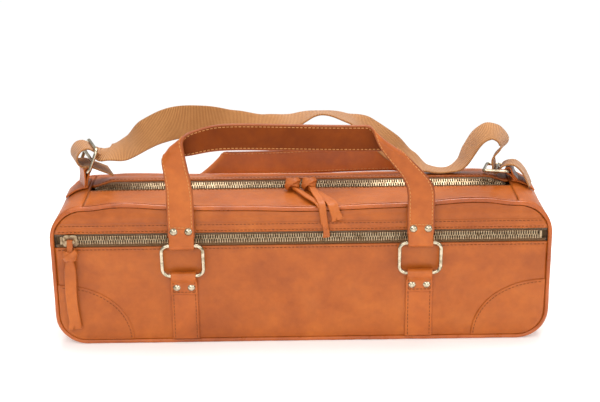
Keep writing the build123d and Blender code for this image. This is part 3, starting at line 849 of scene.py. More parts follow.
def heights(low: float, high: float, step: float, inset: float, seams: Floats = ()) -> Array:
    """Rows up a panel, closer together round the corners and at its seams.

    Args:
        low, high: heights of the first and the last row.
        step: spacing on the plain of the panel.
        inset: of the panel's outline.
        seams: heights that need rows close by.

    Returns:
        Sorted heights.
    """
    turn = np.linspace(0.0, pi / 2, 9)
    rows = [np.linspace(low, high, max(3, int((high - low) / step)))]
    rows.append(BASE_RADIUS - (BASE_RADIUS - inset) * np.cos(turn))
    rows.append(TOP_TURN_Z + (TOP_RADIUS - inset) * np.sin(turn))
    rows += [seam + np.array([-1.5, -0.7, 0.0, 0.7, 1.5]) for seam in seams]
    merged = np.sort(np.concatenate(rows))
    kept = [low]
    for z in merged[(merged > low + 0.2) & (merged < high - 0.2)]:
        if z - kept[-1] > 0.3:
            kept.append(z)
    return np.array(kept + [high])


def panel_grid(rows: Array, cols: int, inset: float) -> tuple[Array, Array]:
    """Distances along the case and heights of points over a panel, from its rows' heights."""
    x = np.linspace(-1.0, 1.0, cols)[None, :] * half_width(rows, inset)[:, None]
    return x, np.repeat(rows[:, None], cols, 1)


def seam_dip(z: Array, seams: Floats) -> Array:
    """How far stitching pulls leather in, at each of its rows."""
    return sum((Swell(seam, 0.8, 0.55)(z) for seam in seams), np.zeros_like(z))


def end_line(inset: float) -> tuple[Array, Array]:
    """Middle line of the strip round the ends and the base, from top corner to top corner.

    Args:
        inset: how much smaller the line is drawn than the case's outline.

    Returns:
        Points and outward directions, as rows of x and z.
    """
    low = HALF_LENGTH - BASE_RADIUS
    corners = ((-FLAT_X, TOP_TURN_Z, TOP_RADIUS, 90.0, 18), (-low, BASE_RADIUS, BASE_RADIUS, 180.0, 16),
               (low, BASE_RADIUS, BASE_RADIUS, 270.0, 16), (FLAT_X, TOP_TURN_Z, TOP_RADIUS, 0.0, 18))
    points, ways = np.empty((0, 2)), np.empty((0, 2))
    for (x, z, radius, start, count), straight in zip(corners, (0, 22, 90, 22)):
        turn = np.radians(np.linspace(start, start + 90.0, count))
        way = np.stack([np.cos(turn), np.sin(turn)], -1)
        point = np.array([x, z]) + (radius - inset) * way
        if straight:
            share = np.linspace(0.0, 1.0, straight + 2)[1:-1, None]
            points = np.concatenate([points, points[-1] + (point[0] - points[-1]) * share])
            ways = np.concatenate([ways, np.repeat(ways[-1:], straight, 0)])
        points, ways = np.concatenate([points, point]), np.concatenate([ways, way])
    return points, ways


@dataclass
class Walls:
    """Leather walls of the case: front, back, base, ends and top, with their piping.

    Attributes:
        strip_top, strip_out, strip_crown, puff: the strip over the pocket's zip, the leather above it.
        patch_long, patch_tall, patch_leather: the quarter-round corner patches.
        end_sink, base_sink, end_slack, top_crease: hollows of the ends, the base and the top.
    """

    finishes: Finishes
    hollows: Hollows = Hollows()
    cols: int = 230
    step: float = 1.9
    strip_top: float = 116.0
    strip_out: float = 0.9
    strip_crown: float = 0.9
    puff: Triple = (121.8, 5.2, 0.8)
    hem: float = 3.6
    hem_out: float = 0.45
    flap_end: float = FLAT_X - 0.3
    window_low: float = POCKET_Z - ZIP_HALF
    window_high: float = POCKET_Z + ZIP_HALF
    pocket_seams: tuple[float, ...] = (91.5,)
    strip_seams: tuple[float, ...] = (108.8, 114.4)
    patch_long: float = 66.0
    patch_tall: float = 54.0
    patch_leather: float = 1.0
    end_sink: float = 2.3
    base_sink: float = 0.25
    end_slack: float = 0.8
    top_crease: float = 0.28
    foam_front: float = 42.6
    foam_cols: int = 90

    def front_out(self, x: Array, z: Array) -> Array:
        """Distance of the front's outer face from the middle plane.

        Args:
            x: distance along the case.
            z: height, of the pocket below the zip and of the upper leather above it.

        Returns:
            Distances in millimetres.
        """
        x, z = np.broadcast_arrays(np.asarray(x, float), np.asarray(z, float))
        hem = self.window_low - self.hem
        pocket = PANEL_Y - self.hollows.sink(x, z, Seed.POCKET, PANEL_INSET, self.window_low)
        pocket += self.hem_out * smoothstep(z, hem - 0.8, hem) - seam_dip(z, self.pocket_seams)
        upper = PANEL_Y - 0.5 * self.hollows.sink(x, z, Seed.UPPER, self.window_high, PANEL_TOP)
        raised = 1.0 - smoothstep(z, self.strip_top - 0.5, self.strip_top + 0.4)
        crown = 1.0 - ((z - self.window_high - 4.6) / 5.4) ** 2
        upper += raised * (self.strip_out + self.strip_crown * crown) - seam_dip(z, self.strip_seams) - 0.1
        middle, spread, rise = self.puff
        upper += (1.0 - raised) * rise * np.maximum(0.0, 1.0 - ((z - middle) / spread) ** 2)
        return np.where(z > POCKET_Z, upper, pocket)

    def rear_out(self, x: Array, z: Array) -> Array:
        """Distance of the back's outer face from the middle plane."""
        return PANEL_Y - self.hollows.sink(x, z, Seed.REAR, PANEL_INSET, PANEL_TOP)

    def lowered(self, x: Array, z: Array) -> Array:
        """Height of a point on the front after its top edge has drooped."""
        return z - top_sag(x) * smoothstep(z, self.strip_top + 0.5, PANEL_TOP)

    def rear_drop(self, x: Array, z: Array) -> Array:
        """How far a point on the back droops."""
        return REAR_SHARE * top_sag(x) * smoothstep(z, 100.0, PANEL_TOP)

    def front_panel(self, name: str, low: float, high: float, seams: Floats) -> Piece:
        """One of the two leathers of the front.

        Args:
            name: the piece's name.
            low, high: heights of its edges.
            seams: heights of its stitching.

        Returns:
            The leather.
        """
        x, z = panel_grid(heights(low, high, self.step, PANEL_INSET, seams), self.cols, PANEL_INSET)
        outer = points_of(x, -self.front_out(x, z), self.lowered(x, z))
        return dressed(thick_grid(name, outer, FRONTWARD, LEATHER), self.finishes.panel)

    def rear_panel(self) -> Piece:
        """The plain leather of the back."""
        rows = heights(PANEL_INSET, PANEL_TOP, self.step + 0.4, PANEL_INSET)
        x, z = panel_grid(rows, self.cols - 40, PANEL_INSET)
        outer = points_of(x, self.rear_out(x, z), z - self.rear_drop(x, z))
        return dressed(thick_grid("rear_leather", outer, BACKWARD, LEATHER), self.finishes.panel)

    def foam(self) -> None:
        """Foam behind the front and back, drooping with the leather over it."""
        parts = []
        for low, high in ((PANEL_INSET, self.window_low + 0.7), (self.window_high - 0.7, PANEL_TOP)):
            x, z = panel_grid(heights(low, high, 4.0, PANEL_INSET), self.foam_cols, PANEL_INSET + 0.4)
            y = -np.minimum(self.foam_front, self.front_out(x, z) - 2.0)
            parts.append(thick_grid("foam_part", points_of(x, y, self.lowered(x, z) - 0.5), FRONTWARD, 2.0))
        for part in parts:
            dressed(part, self.finishes.foam)
        seat(join("front_foam", parts), "case", "front_padding")
        rows = heights(PANEL_INSET, PANEL_TOP, 4.0, PANEL_INSET)
        x, z = panel_grid(rows, self.foam_cols, PANEL_INSET + 0.4)
        outer = points_of(x, self.rear_out(x, z) - LEATHER - 0.3, z - 0.5 - self.rear_drop(x, z))
        back = dressed(thick_grid("rear_foam", outer, BACKWARD, 1.0), self.finishes.foam)
        seat(back, "case", "rear_padding")

    def pocket_tape(self) -> None:
        """Both tapes of the pocket's zip, sewn in behind the leather from end to end."""
        parts = []
        for low, high in ((self.window_low - 4.0, POCKET_Z - 3.9), (POCKET_Z + 3.9, self.window_high + 4.0)):
            x, z = np.meshgrid(np.linspace(-217.4, 217.4, 120), np.linspace(low, high, 5))
            tape = thick_grid("tape_part", points_of(x, -44.3, z), FRONTWARD, 0.7)
            parts.append(dressed(tape, self.finishes.tape))
        seat(join("pocket_cloth_tape", parts), "case", "pocket_zip_tape")

    def corner_patch(self, name: str, side: int) -> Piece:
        """Quarter-round patch over a bottom corner of the front.

        Args:
            name: the piece's name.
            side: -1 on the left, 1 on the right.

        Returns:
            The patch.
        """
        inset = PANEL_INSET + 0.3
        top = PANEL_INSET + self.patch_tall
        rows = PANEL_INSET + self.patch_tall * np.sin(np.linspace(0.0, pi / 2, 20))
        rows = np.concatenate([rows, heights(inset, top - 0.1, 2.2, inset)])
        rows = np.unique(np.clip(rows, inset, top - 0.05))
        rise = np.clip((rows - PANEL_INSET) / self.patch_tall, 0.0, 1.0)
        start = (HALF_LENGTH - PANEL_INSET - self.patch_long * np.sqrt(1.0 - rise ** 2))[:, None]
        end = np.maximum(half_width(rows, inset)[:, None], start + 0.05)
        x = side * (start + (end - start) * np.linspace(0.0, 1.0, 40)[None, :])
        z = np.broadcast_to(rows[:, None], x.shape)
        gap = np.abs(x) - start
        rolled = 0.45 * (1.0 - smoothstep(gap, 0.0, 1.6)) + Swell(2.6, 0.7, 0.25)(gap)
        outer = points_of(x, -(self.front_out(x, z) + self.patch_leather - rolled), z)
        return dressed(thick_grid(name, outer, FRONTWARD, self.patch_leather), self.finishes.panel)

    def gusset_sink(self, y: Array, z: Array) -> Array:
        """How far the ends and base sink in from their flat place.

        Args:
            y, z: distance across the case, and height.

        Returns:
            Depths in millimetres, deepest half way up the ends.
        """
        ends = smoothstep(z, 4.0, 40.0) * (1.0 - 0.85 * smoothstep(z, 78.0, 108.0))
        crown = 1.0 - (y / GUSSET_Y) ** 2
        slack = self.end_slack * ends * crown * (1 + ripple(y * 1.3, z * 0.9, Seed.ENDS, 70.0))
        return crown * (self.base_sink + self.end_sink * ends) + slack + Swell(GUSSET_Y, 2.0, 0.7)(np.abs(y))

    def gusset(self) -> Piece:
        """Ends and base in one strip, hollowed between its seams."""
        line, ways = end_line(0.0)
        y = np.linspace(-GUSSET_Y, GUSSET_Y, 44)[None, :]
        sink = self.gusset_sink(y, line[:, 1:])
        normal = points_of(ways[:, :1], 0.0 * y, ways[:, 1:])
        outer = points_of(line[:, :1], y, line[:, 1:]) - normal * sink[..., None]
        return dressed(thick_grid("base_and_end_leather", outer, normal, LEATHER), self.finishes.gusset)

    def top_height(self, x: Array, y: Array) -> Array:
        """Height of the top's outer face.

        Args:
            x, y: distances along and across the case.

        Returns:
            Heights in millimetres.
        """
        y = np.asarray(y, float)
        front, back = smoothstep(-y, 5.0, GUSSET_Y), smoothstep(y, 16.0, GUSSET_Y)
        crease = self.top_crease * (1.0 + ripple(x, y * 1.7, Seed.TOP, 80.0)) * np.maximum(front, back)
        tipped = zip_rise(x) * smoothstep(y, 6.0, 12.0) * (1.0 - back)
        return HEIGHT - top_sag(x) * (front + REAR_SHARE * back) - crease + tipped

    def top_strip(self, name: str, y0: float, y1: float, half: float) -> Piece:
        """A leather strip of the top.

        Args:
            name: the piece's name.
            y0, y1: where it starts and ends, across the case.
            half: half its length.

        Returns:
            The strip.
        """
        x, y = np.meshgrid(np.linspace(-half, half, 190), np.linspace(y0, y1, 22))
        zip_side = np.abs(np.abs(y - ZIP_Y) - ZIP_HALF)
        dip = Swell(2.4, 0.8, 0.3)(zip_side) + Swell(0.0, 0.7, 0.4)(zip_side)
        outer = points_of(x, y, self.top_height(x, y) - dip)
        return dressed(thick_grid(name, outer, UPWARD, LEATHER), self.finishes.panel)

    def piping(self, name: str, side: int) -> Piece:
        """Leather-covered cord round the front or back, drooping with the top.

        Args:
            name: the piece's name.
            side: -1 in front, 1 behind.

        Returns:
            The cord.
        """
        line, _ = end_line(PIPING_RADIUS)
        top = [(x, HEIGHT - PIPING_RADIUS) for x in np.linspace(FLAT_X, -FLAT_X, 102)[1:-1]]
        flat = np.concatenate([line, np.array(top)])
        keep = [0]
        for i in range(1, len(flat)):
            if np.linalg.norm(flat[i] - flat[keep[-1]]) > 0.5:
                keep.append(i)
        x, z = flat[keep].T
        share = smoothstep(z, HEIGHT / 2, HEIGHT - PIPING_RADIUS - 0.5) * (1.0 if side < 0 else REAR_SHARE)
        wave = 0.18 * ripple(x, z, Seed.PIPING + side, 60.0)
        path = points_of(x, side * (PIPING_Y + wave - 0.15), z - top_sag(x) * share)
        radii = PIPING_RADIUS - 0.12 + 0.08 * ripple(x, z, Seed.PIPING_GIRTH + side, 18.0)
        return dressed(tube(name, path, radii, closed=True, sides=14), self.finishes.piping)

    def build(self) -> None:
        """Builds the walls and puts each on its body, apart from the top's front strip, which is put on none.
        """
        seat(self.front_panel("front_upper_leather", self.window_high, PANEL_TOP, self.strip_seams),
             "case", "front_upper_panel")
        seat(self.front_panel("front_pocket_leather", PANEL_INSET, self.window_low, self.pocket_seams),
             "case", "front_pocket_panel")
        for side, end in SIDES:
            patch = self.corner_patch(f"front_{end}_corner_leather", side)
            seat(patch, "case", f"front_{end}_corner_patch")
        seat(self.rear_panel(), "case", "rear_panel")
        seat(self.gusset(), "case", "base_and_end_gusset")
        self.foam()
        self.pocket_tape()
        for side, face in FACES:
            seat(self.piping(f"{face}_piping_cord", side), "case", f"{face}_piping")
        flap = self.top_strip("top_front_leather", -GUSSET_Y, ZIP_Y - ZIP_HALF, self.flap_end)
        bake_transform(flap)
        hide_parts("top_front_flap")
        log.info("%s bends between case and flap", flap.name)
        seat(self.top_strip("top_rear_leather", ZIP_Y + ZIP_HALF, GUSSET_Y, FLAT_X), "case", "top_rear_strip")


# --- Lines, ribbons and rows ---

def lengths_along(line: Array) -> Array:
    """Distance of each point of a line from its start."""
    return np.concatenate([[0.0], np.cumsum(np.linalg.norm(np.diff(line, axis=0), axis=1))])


def read_along(places: Array, values: Array, where: Array | float) -> Array:
    """Reads directions or points at distances along their line."""
    return np.stack([np.interp(where, places, values[:, k]) for k in range(3)], -1)


class Ribbon:
    """A strap's middle line, with the direction across it at each place."""

    def __init__(self, points: Points, across: Points, step: float = 0.8, smooth: bool = True) -> None:
        """Samples the line closely.

        Args:
            points: places on the middle line.
            across: one direction across the strap, or one for each place.
            step: spacing of the samples.
            smooth: whether the line is curved through the places.
        """
        pts = np.array(points, float)
        wide = np.broadcast_to(np.array(across, float), pts.shape)
        wide = wide / np.linalg.norm(wide, axis=1)[:, None]
        chords = np.linalg.norm(np.diff(pts, axis=0), axis=1)
        slopes = np.empty_like(pts)
        slopes[1:-1] = (pts[2:] - pts[:-2]) / (chords[1:] + chords[:-1])[:, None]
        slopes[0], slopes[-1] = (pts[1] - pts[0]) / chords[0], (pts[-1] - pts[-2]) / chords[-1]
        line, cross = [], []
        for i, chord in enumerate(chords):
            for u in np.linspace(0.0, 1.0, max(2, int(chord / step) + 1), endpoint=False):
                a, b, c = 3 * u * u - 2 * u ** 3, u ** 3 - 2 * u * u + u, u ** 3 - u * u
                curved = pts[i] * (1 - a) + pts[i + 1] * a + chord * (slopes[i] * b + slopes[i + 1] * c)
                line.append(curved if smooth else pts[i] * (1 - u) + pts[i + 1] * u)
                cross.append(wide[i] * (1 - a) + wide[i + 1] * a)
        self.line = np.array(line + [pts[-1]])
        self.ways = np.gradient(self.line, axis=0)
        self.ways /= np.linalg.norm(self.ways, axis=1)[:, None]
        self.cross = np.array(cross + [wide[-1]])
        self.cross -= self.ways * np.sum(self.cross * self.ways, 1)[:, None]
        self.cross /= np.linalg.norm(self.cross, axis=1)[:, None]
        self.out = np.cross(self.cross, self.ways)
        self.places = lengths_along(self.line)
        self.length = float(self.places[-1])

    def __call__(self, s: float, t: float, h: float) -> Array:
        """Place of (along, across, out)."""
        at, cross, out = (read_along(self.places, values, s) for values in (self.line, self.cross, self.out))
        return at + t * cross + h * out

    def stations(self, step: float) -> Array:
        """Distances along the line, about a step apart."""
        return np.linspace(0.0, self.length, max(3, int(self.length / step) + 1))


@dataclass
class Row:
    """Places for small pieces along a line, with the ways along it and out of the surface."""

    points: Array
    ways: Array
    outs: Array

    @classmethod
    def along(cls, line: Array, outs: Array, pitch: float, margin: float = 1.5) -> "Row":
        """Spaces places equally along a line.

        Args:
            line: points of the line.
            outs: direction out of the surface at each point.
            pitch, margin: spacing of the places, and bare length at each end.

        Returns:
            The row.
        """
        places = lengths_along(line)
        count = max(2, int(round((places[-1] - 2 * margin) / pitch)) + 1)
        spots = np.linspace(margin, places[-1] - margin, count)
        ways = read_along(places, line, spots + 0.6) - read_along(places, line, spots - 0.6)
        return cls(read_along(places, line, spots), ways, read_along(places, outs, spots))


class Repeater:
    """Geometry Nodes that set one small piece at each place of a row."""

    INPUTS = {"Piece": "Object", "Finish": "Material", "Variation": "Float", "Seed": "Int"}

    def __init__(self) -> None:
        """Builds the node group once."""
        self.group = bpy.data.node_groups.new("pieces on a row", "GeometryNodeTree")
        self.socket("Geometry", "Geometry")
        self.inputs = {name: self.socket(name, kind) for name, kind in self.INPUTS.items()}
        self.socket("Geometry", "Geometry", "OUTPUT")
        nodes, link = self.group.nodes, self.group.links.new
        source, sink, info, turn, size, place, real, paint = (nodes.new(kind) for kind in (
            "NodeGroupInput", "NodeGroupOutput", "GeometryNodeObjectInfo", "FunctionNodeAxesToRotation",
            "FunctionNodeRandomValue", "GeometryNodeInstanceOnPoints", "GeometryNodeRealizeInstances",
            "GeometryNodeSetMaterial"))
        turn.primary_axis, turn.secondary_axis = "X", "Z"
        for name, index in (("way", 0), ("out", 1)):
            read = nodes.new("GeometryNodeInputNamedAttribute")
            read.data_type = "FLOAT_VECTOR"
            read.inputs["Name"].default_value = name
            link(read.outputs["Attribute"], turn.inputs[index])
        size.data_type = "FLOAT"
        for kind, index in (("SUBTRACT", 2), ("ADD", 3)):
            limit = nodes.new("ShaderNodeMath")
            limit.operation = kind
            limit.inputs[0].default_value = 1.0
            link(source.outputs["Variation"], limit.inputs[1])
            link(limit.outputs[0], size.inputs[index])
        for start, end in (
            (source.outputs["Seed"], size.inputs["Seed"]), (source.outputs["Piece"], info.inputs["Object"]),
            (source.outputs["Geometry"], place.inputs["Points"]), (turn.outputs[0], place.inputs["Rotation"]),
            (info.outputs["Geometry"], place.inputs["Instance"]), (size.outputs[1], place.inputs["Scale"]),
            (place.outputs[0], real.inputs[0]), (real.outputs[0], paint.inputs["Geometry"]),
            (source.outputs["Finish"], paint.inputs["Material"]), (paint.outputs[0], sink.inputs[0])):
            link(start, end)

    def socket(self, name: str, kind: str, way: str = "INPUT") -> str:
        """Adds a socket to the group and gives its identifier."""
        made = self.group.interface.new_socket(name, in_out=way, socket_type="NodeSocket" + kind)
        return made.identifier

    def lay(self, name: str, rows: Sequence[Row], piece: Piece, finish: Finish,
            seed: int, variation: float) -> Piece:
        """Sets the piece at every place of the rows, as one plain mesh.

        Args:
            name: the new object's name.
            rows: places and directions.
            piece: the small piece, at the origin, along X with Z outwards.
            finish: its material.
            seed, variation: fixed seed of the sizes, and how much they vary.

        Returns:
            The new object.
        """
        points = np.concatenate([row.points for row in rows]) * MM
        mesh = bpy.data.meshes.new(name + "_row")
        mesh.from_pydata([tuple(p) for p in points], [], [])
        for label, values in (("way", [r.ways for r in rows]), ("out", [r.outs for r in rows])):
            layer = mesh.attributes.new(label, "FLOAT_VECTOR", "POINT")
            layer.data.foreach_set("vector", np.concatenate(values).astype(np.float32).ravel())
        holder = add_object(name + "_row", mesh)
        nodes = holder.modifiers.new("pieces", "NODES")
        nodes.node_group = self.group
        for label, value in (("Piece", piece), ("Finish", finish), ("Variation", variation),
                             ("Seed", int(seed))):
            nodes[self.inputs[label]] = value
        graph = bpy.context.evaluated_depsgraph_get()
        made = bpy.data.meshes.new_from_object(holder.evaluated_get(graph), depsgraph=graph)
        made.name = name
        for label in ("way", "out"):
            if label in made.attributes:
                made.attributes.remove(made.attributes[label])
        discard(holder)
        return add_object(name, made)


@dataclass
class Stitching:
    """Thread through the leather, in rows that ride on each body."""

    repeater: Repeater
    thread: Finish
    pale: Finish
    pitch: float = 3.5
    length: float = 2.5
    bow: Points = ((-1.0, -0.34, 0.16), (-0.72, 0.04, 0.36), (0.0, 0.14, 0.36), (0.72, 0.04, 0.36),
                   (1.0, -0.34, 0.16))
    variation: float = 0.06
    rows: dict[str, list[Row]] = field(default_factory=dict)

    def add(self, body: str, line: Array, outs: Points) -> None:
        """Keeps a row for one body, with one direction out of the leather or one for each point."""
        outs = np.broadcast_to(np.asarray(outs, float), line.shape)
        self.rows.setdefault(body, []).append(Row.along(line, outs, self.pitch))

    def strap(self, body: str, mapper: Mapper, start: float, end: float, across: float, out: float) -> None:
        """Keeps a row along both edges of a strap's face.

        Args:
            body: the body that they ride on.
            mapper: gives the place of (along, across, out) on the strap.
            start, end: distances along it where they begin and end.
            across, out: distances of each row from the strap's middle.
        """
        stations = np.linspace(start, end, max(8, int(abs(end - start) / 1.5)))
        for side in (-1, 1):
            line, below = (np.array([mapper(s, side * across, h) for s in stations]) for h in (out, 0.0))
            self.add(body, line, line - below)

    def build(self) -> None:
        """Lays the thread, one piece for each body."""
        path = [(share * self.length / 2, 0, rise) for share, rise, _ in self.bow]
        one = tube("one_stitch", path, [radius for _, _, radius in self.bow], sides=6)
        for index, (body, rows) in enumerate(self.rows.items()):
            # Off the hand straps the rows take the dark thread, whose darkness is painted shade of the holes
            # and grooves.
            finish = self.pale if body.endswith("hand_strap") else self.thread
            made = self.repeater.lay("stitching_" + body, rows, one, finish, Seed.STITCHES + index,
                                     self.variation)
            seat(made, body)
        discard(one)


# --- Zips ---

@dataclass
class Zips:
    """Teeth, cords and tapes of the main zip, and teeth and cords of the pocket's zip.

    Attributes:
        pitch, width, length, height, overlap: of the teeth, which pass the middle by the overlap.
        level, lift, lean, tipped: height of the main zip, how it rises and tips, and its way out.
    """

    finishes: Finishes
    repeater: Repeater
    pitch: float = 2.13
    width: float = 1.2
    length: float = 3.6
    height: float = 2.4
    overlap: float = 0.6
    clearance: float = 0.4
    level: float = TAPE_TOP - 0.35
    lift: float = 0.45
    lean: float = 0.1
    tipped: Triple = (0.0, -0.43, 0.9)
    pocket_y: float = -43.95
    main_half: float = FLAT_X - 6.0
    pocket_half: float = 210.95
    cord_y: float = 3.3
    cord_radius: float = 0.95
    tape: Pair = (2.7, 7.6)
    variation: float = 0.012

    def tooth(self) -> Piece:
        """One tooth, reaching along Y from its cord to its rounded head."""
        w, h = self.width / 2, self.height / 2
        tail, head = self.length + 0.4, -self.overlap
        side = [(w, tail), (w, head + 0.9), (0.72 * w, head + 0.25)]
        outline = [(-x, y) for x, y in side] + [(0, head)] + side[::-1]
        rings = [(-h, 0.72), (-h * 0.72, 1.0), (h * 0.72, 1.0), (h, 0.72)]
        middle = (tail + head) / 2
        verts = [(x * k, middle + (y - middle) * (0.94 + 0.06 * (k == 1.0)), z) for z, k in rings
                 for x, y in outline]
        n = len(outline)
        faces = grid_faces(len(rings), n, wrap=True)
        faces += [tuple(range(n)), tuple(range(len(verts) - n, len(verts)))[::-1]]
        return face_outwards(mesh_object("one_tooth", verts, faces, smooth=False))

    def top(self, x: float, y: float) -> Triple:
        """Place of (along, across) on the main zip."""
        return x, ZIP_Y + y, self.level + (self.lift + self.lean * y) * float(zip_rise(x))

    def pocket(self, x: float, y: float) -> Triple:
        """Place of (along, up) on the pocket's zip."""
        return x, self.pocket_y, POCKET_Z + y

    def row(self, half: float, side: int, place: ZipPlace, out: Floats) -> Row:
        """Places of one row of teeth.

        Args:
            half: half the zip's length.
            side: -1 for the first row, 1 for the one that meshes with it from the other side.
            place: gives the point at a distance along and across the zip.
            out: direction out of the zip.

        Returns:
            The row.
        """
        start = self.clearance + (self.pitch / 2 if side > 0 else 0.0)
        count = int((2 * half - start - self.width) // self.pitch) + 1
        xs = -half + start + self.width / 2 + self.pitch * np.arange(count)
        points = np.array([place(x, 0.0) for x in xs])
        way = np.array(place(float(side), 0.0)) - np.array(place(0.0, 0.0))
        return Row(points, np.repeat(way[None, :], count, 0), np.repeat(np.array([out], float), count, 0))

    def cord(self, name: str, half: float, side: int, place: ZipPlace) -> Piece:
        """Rolled edge of a tape, which the teeth of the row on that side grip."""
        path = [place(x, side * self.cord_y) for x in np.linspace(-half, half, 60)]
        return dressed(tube(name, path, self.cord_radius, sides=8), self.finishes.tape)

    def main_tape(self, name: str, side: int) -> Piece:
        """Tape between a row's cord and the leather that it is sewn under.

        Args:
            name: the piece's name.
            side: -1 or 1, the row's side.

        Returns:
            The tape.
        """
        across = side * np.linspace(*self.tape, 8)
        places = np.linspace(-self.main_half, self.main_half, 120)
        outer = np.array([[self.top(x, y) for x in places] for y in across]) - np.array([0.0, 0.0, 0.25])
        return dressed(thick_grid(name, outer, UPWARD, 0.8), self.finishes.tape)

    def build(self) -> None:
        """Builds both zips."""
        one = self.tooth()
        metal = self.finishes.zip_metal
        for side, body, name in ((-1, "flap", "front"), (1, "case", "rear")):
            row = self.row(self.main_half, side, self.top, self.tipped)
            teeth = self.repeater.lay(f"main_{name}_zip_teeth", [row], one, metal, Seed.MAIN_TEETH,
                                      self.variation)
            seat(teeth, body, f"main_zip_{name}_teeth")
            seat(self.cord(f"main_{name}_zip_cord", self.main_half, side, self.top), body)
            seat(self.main_tape(f"main_{name}_woven_tape", side), body, f"main_zip_{name}_tape")
        rows = [self.row(self.pocket_half, side, self.pocket, FRONTWARD) for side in (-1, 1)]
        teeth = self.repeater.lay("pocket_zip_metal_teeth", rows, one, metal, Seed.POCKET_TEETH,
                                  self.variation)
        seat(teeth, "case", "pocket_zip_teeth")
        for side, name in ((-1, "low"), (1, "high")):
            seat(self.cord(f"pocket_{name}_zip_cord", self.pocket_half, side, self.pocket), "case")
        discard(one)


# --- Hand straps and chapes ---

@dataclass(frozen=True)
class Slump:
    """A worn hand strap: the lean of both legs, the drawn-in left corner, and both corners' slump."""

    taper: Pair = (-0.075, 0.17)
    narrow: float = 1.0
    drop: Pair = (8.0, 17.0)


class HandShape(Enum):
    """The two hand straps: soft and slumped in front, nearly straight behind."""

    FRONT = Slump()
    REAR = Slump(taper=(0.02, 0.2), narrow=0.0, drop=(0.0, 0.0))


